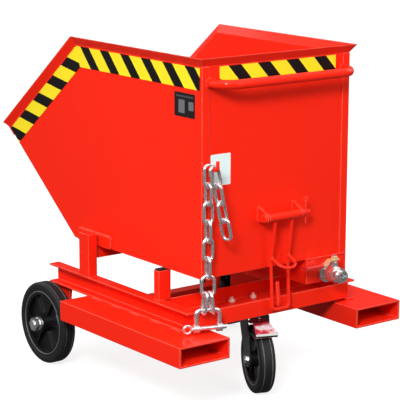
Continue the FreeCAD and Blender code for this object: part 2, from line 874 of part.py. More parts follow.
def front_wheel():
    hub = (front_bush_radius, front_hub_inner, front_hub_outer)
    parts = {
        "tyre": tyre(front_radius, front_width, front_rim_radius),
        "rim": rim(front_width, front_rim_radius, front_hub_radius, *hub),
        "bush": wheel_bush(axle_dia / 2, *hub),
    }
    for shape in parts.values():
        shape.translate(Vec(axle_x, track_y, axle_z))
    return parts


# Castor, made with its swivel axis on the Z axis and its wheel trailing towards -X
def castor_placed(shape):
    return shape.rotate(ORIGIN, ALONG_Z, castor_turn).translate(Vec(swivel_x, 0, 0))


def castor_top_plate():
    z1 = cross_bottom
    z0 = z1 - castor_plate_thick
    half_x = castor_plate_length / 2
    half_y = castor_plate_width / 2
    plate = box(swivel_x - half_x, swivel_x + half_x, -half_y, half_y, z0, z1)
    race_foot = Vec(swivel_x, 0, z0 - race_height)
    race = Part.makeCone(race_dia / 2 - race_chamfer, race_dia / 2, race_height, race_foot, ALONG_Z)
    radius = castor_bolt_dia / 2 + seat_gap
    holes = [round_z(x, y, z0 - overrun, z1 + overrun, radius) for x, y in bolt_places()]
    holes.append(round_z(swivel_x, 0, race_foot.z - overrun, z1 + overrun, kingpin_dia / 2 + run_gap))
    return merged(plate, race).cut(holes)


def castor_kingpin():
    top = cross_bottom
    low = crown_bottom - seat_gap - kingpin_nut_height
    shank = round_z(swivel_x, 0, low, top, kingpin_dia / 2)
    nut = hexagon(kingpin_nut_across, kingpin_nut_height).translate(Vec(swivel_x, 0, low))
    return merged(shank, nut)


def castor_bolts():
    under = cross_bottom - castor_plate_thick
    over = cross_bottom + cross_wall
    end = over + castor_bolt_head + castor_bolt_tail
    bolts = []
    for x, y in bolt_places():
        head = hexagon(castor_bolt_across, castor_bolt_head).translate(Vec(x, y, under - castor_bolt_head))
        nut = hexagon(castor_bolt_across, castor_bolt_head).translate(Vec(x, y, over))
        shank = round_z(x, y, under - castor_bolt_head, end, castor_bolt_dia / 2)
        bolts.append(merged(head, nut, shank))
    return Part.makeCompound(bolts)


def pedal_pin_at():
    return -pedal_pin_back, crown_bottom - pedal_pin_drop


def castor_fork():
    disc = round_z(0, 0, crown_mid, crown_top, crown_disc_dia / 2)
    crown = box(-crown_back, crown_front, -castor_y, castor_y, crown_bottom, crown_mid)
    axle = (-castor_trail, castor_radius)
    rear = (-crown_back, crown_mid)
    front = (crown_front, crown_mid)
    leg = round_ended(rear, front, axle, fork_round, fork_gap / 2, castor_y)
    king = round_z(0, 0, crown_bottom - overrun, crown_top + overrun, kingpin_dia / 2 + run_gap)
    bolt = round_y(axle[0], axle[1], -castor_y - overrun, castor_y + overrun, castor_axle_dia / 2 + run_gap)
    pin_x, pin_z = pedal_pin_at()
    pin = round_y(pin_x, pin_z, -castor_y - overrun, castor_y + overrun, pedal_pin_dia / 2 + run_gap)
    return castor_placed(merged(crown, disc, leg, mirrored(leg)).cut([king, bolt, pin]))


def castor_axle():
    x, z = -castor_trail, castor_radius
    nut_end = castor_y + castor_axle_head
    shank = round_y(x, z, -nut_end, nut_end + castor_axle_tail, castor_axle_dia / 2)
    ends = []
    for y0 in (-nut_end, castor_y):
        end = hexagon(castor_axle_across, castor_axle_head)
        end.rotate(ORIGIN, ALONG_X, -90)
        ends.append(end.translate(Vec(x, y0, z)))
    return castor_placed(merged(shank, *ends))


def castor_wheel():
    reach = fork_gap / 2 - seat_gap
    parts = {
        "tyre": tyre(castor_radius, castor_width, castor_rim_radius),
        "rim": rim(castor_width, castor_rim_radius, castor_hub_radius, castor_bush_radius, reach, reach),
        "bush": wheel_bush(castor_axle_dia / 2, castor_bush_radius, reach, reach),
    }
    hub = Vec(-castor_trail, 0, castor_radius)
    return {name: castor_placed(shape.translate(hub)) for name, shape in parts.items()}


def brake_pedal():
    pin_x, pin_z = pedal_pin_at()
    half = pedal_tongue / 2
    pin = round_y(pin_x, pin_z, -castor_y, castor_y, pedal_pin_dia / 2)
    boss = round_y(pin_x, pin_z, -half, half, pedal_boss_dia / 2)
    knee = (-pedal_knee_back, pin_z + pedal_knee_rise)
    end = (-pedal_end_back, pin_z - pedal_end_drop)
    rise = pedal_thick / 2
    wide = pedal_width / 2

    def section(point, reach):
        corners = [(-reach, -rise), (reach, -rise), (reach, rise), (-reach, rise)]
        return [Vec(point[0], y, point[1] + z) for y, z in corners]

    tongue = between(section((pin_x, pin_z), half), section(knee, half))
    tread = between(section(knee, half), section(end, wide))
    lip = box(end[0] - pedal_thick, end[0], -wide, wide, end[1] - rise - pedal_lip_drop, end[1] + rise)
    return castor_placed(merged(pin, boss, tongue, tread, lip))


# Chain: each link is a rod with an eight-sided section bent into an oval, standing in the XZ plane
def chain_link(width):
    corner = link_dia / 2 / math.cos(math.radians(22.5))
    middle = (width + link_dia) / 2
    straight = link_length / 2 - width / 2
    turns = [math.radians(45 * i + 22.5) for i in range(8)]
    ring = [Vec(middle + corner * math.cos(a), corner * math.sin(a), -straight) for a in turns]
    bar = face_of(ring).extrude(ALONG_Z * (2 * straight))
    top = face_of([p + ALONG_Z * (2 * straight) for p in ring])
    arch = top.revolve(ALONG_Z * straight, ALONG_Y, -180)
    half = bar.fuse(arch)
    other = half.copy().rotate(ORIGIN, ALONG_Y, 180)
    return half.fuse(other).removeSplitter()


def hanging_links(count, twist):
    # links below one another from the middle of the uppermost bar, each a quarter turn and the twist on
    links = []
    for i in range(count):
        link = chain_link(link_width).rotate(ORIGIN, ALONG_Z, 90 + (90 + twist) * i)
        links.append(link.translate(ALONG_Z * (-link_half - i * link_step)))
    return links


def chain_frame(shape, place):
    return shape.rotate(ORIGIN, ALONG_Z, chain_turn).translate(place)


def on_hook():
    # middle of the bar of a link that lies on the hook, from the middle of the hook
    return ALONG_Z * ((hook_dia + link_dia) / 2 + link_gap)


def strand_top():
    return Vec(chain_x, chain_aside, hook_height) + on_hook()


def chain_strand():
    links = hanging_links(strand_count - 1, chain_turn / (strand_count - 1))
    last = chain_link(junction_width).rotate(ORIGIN, ALONG_Z, 90 * strand_count + chain_turn)
    links.append(last.translate(ALONG_Z * (-link_half - (strand_count - 1) * link_step)))
    return Part.makeCompound([link.translate(strand_top()) for link in links])


def junction_below_top():
    return 2 * link_half + (strand_count - 1) * link_step


def leg_seat():
    # height of the bar of the junction link where a leg hangs beside its middle
    bow = (junction_width + link_dia) / 2
    return bow - math.sqrt(bow * bow - leg_offset * leg_offset) - junction_below_top()


def leg_reach():
    # from the bar that carries a leg down to the lower bar of its link
    return 2 * link_half - link_dia - leg_gap


def chain_legs():
    links = []
    for side in (1, -1):
        link = chain_link(link_width).translate(ALONG_Z * (link_half - leg_reach()))
        link.rotate(ORIGIN, ALONG_X, side * leg_lean)
        link.translate(Vec(0, side * leg_offset, leg_seat()))
        links.append(chain_frame(link, strand_top()))
    return Part.makeCompound(links)


def crown_drop():
    below = leg_reach() * math.cos(math.radians(leg_lean))
    return leg_seat() - below + (link_dia + shackle_dia) / 2 + shackle_gap


def shackle_bow():
    half = (shackle_width + shackle_dia) / 2
    crown = crown_drop()
    pin = crown - shackle_drop
    path = [Vec(0, half, pin), Vec(0, half, crown), Vec(0, -half, crown), Vec(0, -half, pin)]
    bow = bent_rod(path, shackle_bend, shackle_dia)
    ears = [round_y(0, pin, y - ear_thick / 2, y + ear_thick / 2, ear_dia / 2) for y in (half, -half)]
    far = half + ear_thick
    hole = round_y(0, pin, -far, far, shackle_pin_dia / 2 + run_gap)
    return chain_frame(merged(bow, *ears).cut(hole), strand_top())


def shackle_pin():
    pin_z = crown_drop() - shackle_drop
    outer = (shackle_width + shackle_dia + ear_thick) / 2
    shank = round_y(0, pin_z, -outer - shackle_pin_tail, outer + eye_dia, shackle_pin_dia / 2)
    eye = Part.makeTorus(eye_radius, eye_dia / 2, Vec(0, outer + eye_dia + eye_radius, pin_z), ALONG_X)
    return chain_frame(merged(shank, eye), strand_top())


def chain_hook():
    far = wall_x - hook_reach
    path = [Vec(wall_x, chain_aside, hook_height), Vec(far, chain_aside, hook_height)]
    return bent_rod(path + [Vec(far, chain_aside, hook_height + hook_tip)], hook_bend, hook_dia)


def chain_tail():
    # the links lean about the middle of the hook
    hook = Vec(tail_x, chain_aside, hook_height)
    links = []
    for link in hanging_links(tail_count, tail_twist):
        link.translate(on_hook())
        link.rotate(ORIGIN, ALONG_X, tail_lean)
        links.append(link.translate(hook))
    return Part.makeCompound(links)


# Every node of the assembly
nodes = {
    "skip_side_left": skip_side(),
    "skip_side_right": mirrored(skip_side()),
    "skip_rear_wall": skip_rear_wall(),
    "skip_floor": skip_floor(),
    "lip_stiffener": lip_stiffener(),
    "floor_cross_tube": floor_cross_tube(),
    "hinge_plate_left": hinge_plate(),
    "hinge_plate_right": mirrored(hinge_plate()),
    "pivot_pins": both_sides(pivot_pin()),
    "push_handle": push_handle(),
    "latch_lugs": both_sides(latch_lug()),
    "latch_pin": latch_pin(),
    "latch_split_pin": latch_split_pin(),
    "latch_bail": latch_bail(),
    "latch_catch": latch_catch(),
    "drain_sump": drain_sump(),
    "drain_flange": drain_flange(),
    "valve_body": valve_body(),
    "valve_ball": valve_ball(),
    "valve_lever": Part.makeCompound([valve_lever(), lever_nut()]),
    "lever_grip": lever_grip(),
    "fork_pocket_left": fork_pocket(),
    "fork_pocket_right": mirrored(fork_pocket()),
    "channel_left": channel(),
    "channel_right": mirrored(channel()),
    "rear_cross_member": rear_cross_member(),
    "front_cross_tube": front_cross_tube(),
    "pivot_post_left": pivot_post(),
    "pivot_post_right": mirrored(pivot_post()),
    "pivot_bushes": both_sides(pivot_bush()),
    "rest_post_left": rest_post(),
    "rest_post_right": mirrored(rest_post()),
    "rest_buffers": both_sides(rest_buffer()),
    "axle_bracket_left": axle_bracket(),
    "axle_bracket_right": mirrored(axle_bracket()),
    "wheel_axle": round_y(axle_x, axle_z, -axle_end, axle_end, axle_dia / 2),
    "axle_spacers": both_sides(axle_spacer()),
    "axle_nuts": Part.makeCompound([both_sides(axle_washer()), both_sides(axle_nut())]),
    "castor_top_plate": castor_top_plate(),
    "castor_kingpin": castor_kingpin(),
    "castor_bolts": castor_bolts(),
    "castor_fork": castor_fork(),
    "castor_axle": castor_axle(),
    "brake_pedal": brake_pedal(),
    "chain_hooks": chain_hook(),
    "chain_strand": chain_strand(),
    "chain_legs": chain_legs(),
    "chain_tail": chain_tail(),
    "shackle_bow": shackle_bow(),
    "shackle_pin": shackle_pin(),
}
for piece, shape in front_wheel().items():
    nodes["front_wheel_left_" + piece] = shape
    nodes["front_wheel_right_" + piece] = mirrored(shape)
for piece, shape in castor_wheel().items():
    nodes["castor_wheel_" + piece] = shape

os.makedirs("parts", exist_ok=True)
for name, shape in nodes.items():
    shape.exportStep("parts/" + name + ".step")
print(len(nodes), "nodes written")
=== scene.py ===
# %% [markdown]
# A tipping skip trolley: a red sheet-steel hopper that tips forward on a wheeled chassis. This
# lesson gives them paint, zinc and rubber, and adds what CAD leaves out: hazard tape, bare
# plates, round chain links, moulded tyres and weld seams. Lengths are in metres, as in the frame.

# %% Load the frame
import json
import math

import bpy
import numpy as np
from mathutils import Matrix, Vector


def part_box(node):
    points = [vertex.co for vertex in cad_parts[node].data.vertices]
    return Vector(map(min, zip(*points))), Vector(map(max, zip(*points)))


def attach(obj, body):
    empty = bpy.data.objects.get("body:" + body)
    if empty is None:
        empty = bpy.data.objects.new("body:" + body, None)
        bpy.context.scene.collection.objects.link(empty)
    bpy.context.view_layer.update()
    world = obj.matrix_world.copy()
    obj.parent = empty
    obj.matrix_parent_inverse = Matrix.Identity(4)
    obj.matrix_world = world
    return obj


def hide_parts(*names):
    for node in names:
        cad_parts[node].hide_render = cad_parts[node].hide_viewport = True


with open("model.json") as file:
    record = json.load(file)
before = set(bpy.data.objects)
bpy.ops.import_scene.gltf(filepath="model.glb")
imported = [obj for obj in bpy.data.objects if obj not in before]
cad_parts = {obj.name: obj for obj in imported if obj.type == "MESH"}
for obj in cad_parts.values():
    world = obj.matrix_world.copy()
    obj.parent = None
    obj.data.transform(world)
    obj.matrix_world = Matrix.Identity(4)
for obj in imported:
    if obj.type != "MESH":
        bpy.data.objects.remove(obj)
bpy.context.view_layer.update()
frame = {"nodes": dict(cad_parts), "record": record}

nodes = frame["nodes"]

# %% [markdown]
# The camera stands behind the left rear corner, a little above the rim. A long lens from five metres
# keeps the upright edges of the skip almost parallel, as a catalogue picture does. A constraint could
# aim the camera. Here its place is worked out once from an azimuth and an elevation round a point in
# the middle of the skip, because two angles are easy to read and to change.

# %% Camera
picture_width = 400
focal_pixels = 1703.4
sensor_width = 36.0
view_azimuth = math.radians(232.67)
view_elevation = math.radians(12.24)
view_roll = math.radians(0.18)
view_distance = 5.097
view_target = Vector((-0.1104, 0.0003, 0.5155))

towards_camera = Vector((
    math.sin(view_azimuth) * math.cos(view_elevation),
    -math.cos(view_azimuth) * math.cos(view_elevation),
    math.sin(view_elevation),
))
lens = bpy.data.cameras.new("catalogue_lens")
lens.sensor_width = sensor_width
lens.lens = sensor_width * focal_pixels / picture_width
camera = bpy.data.objects.new("catalogue_camera", lens)
bpy.context.scene.collection.objects.link(camera)
turn = towards_camera.to_track_quat("Z", "Y").to_matrix().to_4x4()
camera.matrix_world = (
    Matrix.Translation(view_target + towards_camera * view_distance)
    @ turn
    @ Matrix.Rotation(view_roll, 4, "Z")
)
bpy.context.scene.camera = camera
print("camera at", [round(value, 3) for value in camera.matrix_world.translation])

# %% [markdown]
# The studio is a white floor and a round white wall far away. One bent sheet could be both. Two plain
# surfaces are used, because the wall then goes all the way round and is there in every view. Diffuse
# and glossy rays pass through them, so no red light comes back from the floor and zinc keeps contrast.

# %% Floor and wall
floor_half = 30.0
wall_radius = 28.0
wall_height = 40.0
wall_turns = 64


def backdrop(name, points, faces):
    """A part of the studio that the camera sees, and that no other ray meets."""
    mesh = bpy.data.meshes.new(name)
    mesh.from_pydata(points.tolist(), [], faces)
    thing = bpy.data.objects.new(name, mesh)
    thing.visible_diffuse = False
    thing.visible_glossy = False
    thing.visible_shadow = False
    bpy.context.scene.collection.objects.link(thing)
    return thing


def flat_floor(half):
    """Four corners of a square on the ground."""
    corners = np.array([(-1, -1, 0), (1, -1, 0), (1, 1, 0), (-1, 1, 0)], float) * half
    return backdrop("studio_floor", corners, [(0, 1, 2, 3)])


def round_wall(radius, height, turns):
    """A ring of points on the ground and one above it: x = r cos a, y = r sin a."""
    angle = np.linspace(0.0, 2 * math.pi, turns, endpoint=False)
    ring = np.stack([radius * np.cos(angle), radius * np.sin(angle), np.zeros(turns)], axis=1)
    points = np.concatenate([ring, ring + np.array([0.0, 0.0, height])])
    faces = [(i, turns + i, turns + (i + 1) % turns, (i + 1) % turns) for i in range(turns)]
    return backdrop("studio_wall", points, faces)


studio = [flat_floor(floor_half), round_wall(wall_radius, wall_height, wall_turns)]
print("floor", 2 * floor_half, "m wide, wall", wall_height, "m high")

# %% [markdown]
# A catalogue picture is lit by one smaller lamp that gives the shadows and by large soft lamps that
# open them. Point lamps would be simpler, but their shadows are hard, so each is a square area lamp
# that is turned towards the middle of the skip. The small one stands behind the left rear corner, and
# the large ones go round the skip, so that no side stays dark.

# %% Soft lamps
skip_middle = (0.0, 0.0, 0.55)
key_size = 0.9
soft_size = 2.4
lamp_table = {  # place, side of the square and power in watts
    "key_lamp": ((-3.0, 3.1, 2.9), key_size, 190.0),
    "lamp_left": ((0.8, 3.8, 2.2), soft_size, 45.0),
    "lamp_rear": ((-3.9, -1.2, 2.2), soft_size, 45.0),
    "lamp_right": ((-0.4, -4.0, 2.4), soft_size, 50.0),
    "lamp_front": ((4.0, 1.0, 2.2), soft_size, 45.0),
    "lamp_top": ((0.2, 0.2, 4.2), soft_size, 18.0),
}


def soft_lamp(name, place, size, power):
    """A square lamp at a place, turned towards the middle of the skip."""
    light = bpy.data.lights.new(name, "AREA")
    light.size = size
    light.energy = power
    lamp = bpy.data.objects.new(name, light)
    lamp.location = place
    lamp.rotation_euler = (Vector(skip_middle) - Vector(place)).to_track_quat("-Z", "Y").to_euler()
    bpy.context.scene.collection.objects.link(lamp)
    return lamp


lamps = [soft_lamp(name, *values) for name, values in lamp_table.items()]
print(len(lamps), "soft lamps")

# %% [markdown]
# Sky and finishes are made of shader nodes, small steps that are wired together. They could be placed
# by hand in the shader editor. A few helpers add them here, because all finishes share these steps.

# %% Shader nodes


def add_node(tree, kind, inputs, **settings):
    """A shader node with its settings, whose inputs are values or outputs of other nodes."""
    made = tree.nodes.new(kind)
    for setting, value in settings.items():
        setattr(made, setting, value)
    for name, value in inputs.items():
        if isinstance(value, bpy.types.NodeSocket):
            tree.links.new(value, made.inputs[name])
        else:
            made.inputs[name].default_value = value
    return made


def ranged(tree, value, source=(0.0, 1.0), target=(0.0, 1.0)):
    """Carries a value from one range over to another one, and stops at its ends."""
    limits = dict(zip(("From Min", "From Max", "To Min", "To Max"), (*source, *target)))
    return add_node(tree, "ShaderNodeMapRange", {"Value": value, **limits}).outputs["Result"]


def mixed(tree, first, second, share):
    """Blends two colours: first (1 - share) + second share."""
    inputs = {"A": first, "B": second, "Factor": share}
    return add_node(tree, "ShaderNodeMix", inputs, data_type="RGBA").outputs["Result"]


def calculated(tree, operation, first, second=0.0):
    """One step of arithmetic on numbers or links."""
    return add_node(tree, "ShaderNodeMath", {0: first, 1: second}, operation=operation).outputs["Value"]


print("shader helpers ready")

# %% [markdown]
# The sky is white overhead and dim near the horizon and below it. One even white would be simpler, but
# faces that look down would then be as bright as the rest, and paint that is seen flat would go pale.
# The height of the view direction, its Z, is carried over to a brightness.

# %% Sky
sky_strength = 1.0
below_strength = 0.13
sky_starts = 0.27  # the sky brightens from this height of the view direction
sky_full = 0.75  # up to this one

world = bpy.data.worlds.new("studio")
world.use_nodes = True
sky = world.node_tree
direction = add_node(sky, "ShaderNodeTexCoord", {}).outputs["Generated"]
view_height = add_node(sky, "ShaderNodeSeparateXYZ", {"Vector": direction}).outputs["Z"]
brightness = ranged(sky, view_height, (sky_starts, sky_full), (below_strength, sky_strength))
background = sky.nodes["Background"]
background.inputs["Color"].default_value = (1.0, 1.0, 1.0, 1.0)
sky.links.new(brightness, background.inputs["Strength"])
bpy.context.scene.world = world
bpy.context.scene.view_settings.view_transform = "Standard"
print("sky from", below_strength, "to", sky_strength)

# %% [markdown]
# A finish starts as one colour and one gloss. Blender's Principled shader can be paint, metal, rubber
# or plastic, so one helper sets it up for all of them, and a second one wires a pattern into it.

# %% A plain finish
millimetre = 0.001


def finish(name, colour, rough, metal=0.0, coat=0.0, shine=0.5):
    """A plain finish: one colour, one gloss, metal or not."""
    material = bpy.data.materials.new(name)
    material.use_nodes = True
    values = {
        "Base Color": (*colour, 1.0),
        "Roughness": rough,
        "Metallic": metal,
        "Coat Weight": coat,
        "Specular IOR Level": shine,
    }
    for socket, value in values.items():
        material.node_tree.nodes["Principled BSDF"].inputs[socket].default_value = value
    return material


def feed(material, socket, pattern):
    """Wires a pattern into one socket of a finish."""
    material.node_tree.links.new(pattern, material.node_tree.nodes["Principled BSDF"].inputs[socket])


print("plain finishes ready")

# %% [markdown]
# Real paint, zinc and rubber are never quite even, so a noise moves the colour and the roughness a
# little and raises the skin as a bump. Pictures of real surfaces would do it too, but a noise has no
# seams and no end. It reads Object coordinates, so it stays on the piece when the piece moves.

# %% Noise on a finish


def object_noise(material, scale, detail):
    """A noise in Object coordinates, with so many waves in a metre."""
    tree = material.node_tree
    place = add_node(tree, "ShaderNodeTexCoord", {}).outputs["Object"]
    inputs = {"Vector": place, "Scale": scale, "Detail": detail}
    return add_node(tree, "ShaderNodeTexNoise", inputs).outputs["Fac"]


def add_bump(material, scale, depth, detail=2.0):
    """Lets a noise raise the skin by up to depth."""
    inputs = {"Height": object_noise(material, scale, detail), "Distance": depth}
    feed(material, "Normal", add_node(material.node_tree, "ShaderNodeBump", inputs).outputs["Normal"])


def vary_gloss(material, scale, low, high, detail=3.0):
    """Lets a noise move the roughness between two values."""
    noise = object_noise(material, scale, detail)
    feed(material, "Roughness", ranged(material.node_tree, noise, target=(low, high)))


def vary_colour(material, scale, dark, light, detail=3.0):
    """Lets a noise move the colour between two shades."""
    noise = object_noise(material, scale, detail)
    feed(material, "Base Color", mixed(material.node_tree, (*dark, 1.0), (*light, 1.0), noise))


print("noise ready")

# %% [markdown]
# Sharp edges of paint catch the light, which shows as a pale line. Bevelled meshes would round the
# edges too, but the CAD nodes stay as they are, so the shader rounds the normal. Where the rounded and
# the flat normal differ, a paler shade is laid over the colour as a painted highlight. Pale patches of
# painted highlight are laid over in the same way, where a noise is high.

# %% Painted highlights on edges and in patches
highlight_starts = 0.99  # agreement of rounded and flat normal where the pale shade starts
highlight_full = 0.80  # and where it is full


def lay_over(material, shade, share):
    """Mixes one more shade over the colour that a finish has."""
    colour = material.node_tree.nodes["Principled BSDF"].inputs["Base Color"].links[0].from_socket
    feed(material, "Base Color", mixed(material.node_tree, colour, (*shade, 1.0), share))


def round_edges_and_paint_highlight(material, radius, highlight_shade, strength):
    """Lets the light turn over sharp edges as if they were rounded, and lays a paler painted highlight
    there.
    """
    tree = material.node_tree
    rounded = add_node(tree, "ShaderNodeBevel", {"Radius": radius}).outputs["Normal"]
    flat = add_node(tree, "ShaderNodeNewGeometry", {}).outputs["Normal"]
    tree.links.new(rounded, tree.nodes["Bump"].inputs["Normal"])
    normals = {0: rounded, 1: flat}
    agree = add_node(tree, "ShaderNodeVectorMath", normals, operation="DOT_PRODUCT").outputs["Value"]
    lay_over(material, highlight_shade, ranged(tree, agree, (highlight_starts, highlight_full), (0.0, strength)))


def lay_highlight_patches(material, scale, patch_shade, starts, full, detail=2.0):
    """Lays a paler shade as a painted highlight where a noise is high: none below starts, all of it above
    full.
    """
    noise = object_noise(material, scale, detail)
    lay_over(material, patch_shade, ranged(material.node_tree, noise, (starts, full)))


print("pale edges from agreement", highlight_starts, "down to", highlight_full)

# %% [markdown]
# The steel is powder coated: a thick, even paint with a soft gloss and a skin like orange peel. Its
# own gloss is low and a thin clear coat lies over it, because a stronger gloss makes red go pink where
# it is seen flat. The brake pedal has a darker paint with pale patches of painted highlight, and the
# valve lever a grip of dipped vinyl.

# %% Paints
coat_rough = 0.11
peel_depth = 0.06 * millimetre
edge_radius = 4.0 * millimetre

red_paint = finish("red powder coat", (0.90, 0.020, 0.006), rough=0.40, coat=0.32, shine=0.03)
red_paint.node_tree.nodes["Principled BSDF"].inputs["Coat Roughness"].default_value = coat_rough
vary_colour(red_paint, scale=3.0, dark=(0.88, 0.018, 0.005), light=(0.92, 0.022, 0.007))
vary_gloss(red_paint, scale=40.0, low=0.34, high=0.46)
add_bump(red_paint, scale=420.0, depth=peel_depth)
# the paler red laid on the edges is a painted highlight
round_edges_and_paint_highlight(red_paint, edge_radius, highlight_shade=(1.0, 0.20, 0.14), strength=0.8)

pedal_paint = finish("pedal paint with painted highlight", (0.60, 0.015, 0.04), rough=0.24, coat=0.6)
vary_colour(pedal_paint, scale=55.0, dark=(0.50, 0.010, 0.03), light=(0.72, 0.05, 0.08))
vary_gloss(pedal_paint, scale=70.0, low=0.18, high=0.36)
# the pale patches on the pedal tread are a painted highlight
lay_highlight_patches(pedal_paint, scale=26.0, patch_shade=(0.86, 0.70, 0.72), starts=0.53, full=0.62)

grip_vinyl = finish("red dipped vinyl", (0.62, 0.02, 0.015), rough=0.3, coat=0.3)
vary_gloss(grip_vinyl, scale=80.0, low=0.24, high=0.38)
print(red_paint.name, pedal_paint.name, grip_vinyl.name, sep=", ")

# %% [markdown]
# Chain, shackle, axle and valve are zinc plated: a pale metal with a cloudy gloss. The valve lever has
# yellow zinc, and the nuts on the castor plate a cream one. The castor fork is a dark steel, and the
# bushes in the wheels are bronze. Full metal shows only what it mirrors and goes dark where that is
# dark, so all but the bronze are only partly metal. A noise gives them the cloudiness of plating.

# %% Metals
steel_grain = 0.04 * millimetre

zinc = finish("bright zinc", (0.80, 0.81, 0.82), rough=0.26, metal=0.9)
vary_colour(zinc, scale=60.0, dark=(0.64, 0.65, 0.67), light=(0.92, 0.93, 0.93))
vary_gloss(zinc, scale=45.0, low=0.18, high=0.34)

lever_zinc = finish("yellow zinc", (0.86, 0.70, 0.34), rough=0.34, metal=0.6)
vary_colour(lever_zinc, scale=50.0, dark=(0.88, 0.66, 0.26), light=(0.84, 0.76, 0.50))
vary_gloss(lever_zinc, scale=60.0, low=0.28, high=0.42)

nut_zinc = finish("cream zinc", (0.94, 0.91, 0.80), rough=0.3, metal=0.2)
vary_colour(nut_zinc, scale=80.0, dark=(0.90, 0.86, 0.74), light=(0.97, 0.95, 0.88))
vary_gloss(nut_zinc, scale=60.0, low=0.24, high=0.38)

castor_steel = finish("dark castor steel", (0.055, 0.057, 0.062), rough=0.34, metal=0.4)
vary_gloss(castor_steel, scale=60.0, low=0.28, high=0.42)
add_bump(castor_steel, scale=500.0, depth=steel_grain)

bronze = finish("bearing bronze", (0.42, 0.26, 0.11), rough=0.38, metal=1.0)
vary_gloss(bronze, scale=200.0, low=0.3, high=0.46)
print(zinc.name, lever_zinc.name, nut_zinc.name, castor_steel.name, bronze.name, sep=", ")

# %% [markdown]
# Tyres and buffers are rubber, almost black and dull. The rims are moulded plastic, a little glossier.
# Both have the fine grain of a mould. Modelled grain would cost many faces, so a bump stands for it.

# %% Rubber and plastic
rubber_grain = 0.05 * millimetre
plastic_grain = 0.03 * millimetre

rubber = finish("black rubber", (0.009, 0.009, 0.010), rough=0.6, shine=0.3)
vary_colour(rubber, scale=30.0, dark=(0.006, 0.006, 0.007), light=(0.012, 0.012, 0.013))
vary_gloss(rubber, scale=90.0, low=0.5, high=0.72)
add_bump(rubber, scale=900.0, depth=rubber_grain)

rim_plastic = finish("black rim plastic", (0.005, 0.004, 0.005), rough=0.34, shine=0.4)
vary_gloss(rim_plastic, scale=120.0, low=0.26, high=0.42)
add_bump(rim_plastic, scale=1400.0, depth=plastic_grain)
print(rubber.name, rim_plastic.name, sep=", ")

# %% [markdown]
# Finishes could be put on node by node. The CAD record already names a slot for every node, so one loop
# does it, and three nodes have a finish of their own. Floor and wall give off light of their own and
# so stay as white as paper, with only a trace of shadow on the floor.

# %% A finish for every node
floor_glow = 0.80
wall_glow = 1.0

for part, name, glow in zip(studio, ("white floor", "white wall"), (floor_glow, wall_glow)):
    white = finish(name, (0.30, 0.30, 0.30), rough=0.9, shine=0.0)
    shader = white.node_tree.nodes["Principled BSDF"]
    shader.inputs["Emission Color"].default_value = (1.0, 1.0, 1.0, 1.0)
    shader.inputs["Emission Strength"].default_value = glow
    part.data.materials.append(white)

slot_finish = {
    "red_paint": red_paint,
    "zinc": zinc,
    "castor_steel": castor_steel,
    "tyre": rubber,
    "rim": rim_plastic,
    "buffer": rubber,
    "bronze": bronze,
    "grip": grip_vinyl,
}
own_finish = {"brake_pedal": pedal_paint, "valve_lever": lever_zinc, "castor_bolts": nut_zinc}
slot_of = {entry["node"]: entry["material_slot"] for entry in frame["record"]["subparts"]}
for name, node in nodes.items():
    node.data.materials.clear()
    node.data.materials.append(own_finish.get(name, slot_finish[slot_of[name]]))
print(len(slot_finish), "slots on", len(nodes), "nodes")

# %% [markdown]
# A new piece is a grid of points: rows along a path, columns round a profile. Blender's curves with a
# bevel, or primitives that are bent, would give like shapes. A grid is used because the formula stays
# in sight and the whole mesh is made in one go. Rows and columns may close on themselves, as a ring
# does, and an open tube is closed by a fan of triangles at each end.

# %% Faces of a grid


def grid_faces(rows, columns, close_rows, close_columns):
    """Four corner numbers for each cell of a grid that is stored row by row."""
    row = np.arange(rows if close_rows else rows - 1)[:, None]
    column = np.arange(columns if close_columns else columns - 1)[None, :]
    next_row = (row + 1) % rows
    next_column = (column + 1) % columns
    corners = [
        row * columns + column,
        row * columns + next_column,
        next_row * columns + next_column,
        next_row * columns + column,
    ]
    cells = [np.broadcast_to(corner, (row.size, column.size)) for corner in corners]
    return np.stack(cells, axis=-1).reshape(-1, 4)


def fan(ring, pole):
    """Triangles from each side of a ring of corner numbers to a pole."""
    return np.stack([ring, np.roll(ring, -1), np.full(len(ring), pole)], axis=-1)


def stacked(parts):
    """Joins several (points, list of face arrays) pairs into one pair."""
    starts = np.cumsum([0] + [len(points) for points, _ in parts])
    points = np.concatenate([points for points, _ in parts])
    faces = [array + start for (_, arrays), start in zip(parts, starts) for array in arrays]
    return points, faces


print("a grid of 3 by 4 points has", len(grid_faces(3, 4, False, False)), "cells")

# %% [markdown]
# A piece is carried by a body of the frame and moves with it. Its points stay where they are in the
# frame, and the object itself stays at the origin. A sheet gets its thickness from a modifier, so that
# only one face of it has to be worked out.

# %% Pieces


def piece(name, points, faces, material, body, smooth=True):
    """A mesh from arrays, placed in the frame and carried by a body."""
    mesh = bpy.data.meshes.new(name)
    corners = [corner for array in faces for corner in array.tolist()]
    mesh.from_pydata(points.tolist(), [], corners)
    mesh.polygons.foreach_set("use_smooth", np.full(len(mesh.polygons), smooth))
    mesh.materials.append(material)
    thing = bpy.data.objects.new(name, mesh)
    bpy.context.scene.collection.objects.link(thing)
    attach(thing, body)
    return thing


def lay_uv(thing, name, uv, faces):
    """Gives each corner of each face the (u, v) pair of its point."""
    layer = thing.data.uv_layers.new(name=name)
    layer.data.foreach_set("uv", uv[faces.reshape(-1)].astype(np.float32).reshape(-1))


def thicken(thing, thickness):
    """Gives a sheet its thickness, on the side away from its faces."""
    solid = thing.modifiers.new("thickness", "SOLIDIFY")
    solid.thickness = thickness
    solid.offset = -1.0


print("pieces ready")

# %% [markdown]
# Chain links, tyre rings and weld seams share one shape: a tube, a circle that is set square to its
# path. Blender's curve bevel makes tubes too. A formula is used, as the radius can change on the way.

# %% Tubes
x_axis, y_axis, z_axis = np.eye(3)


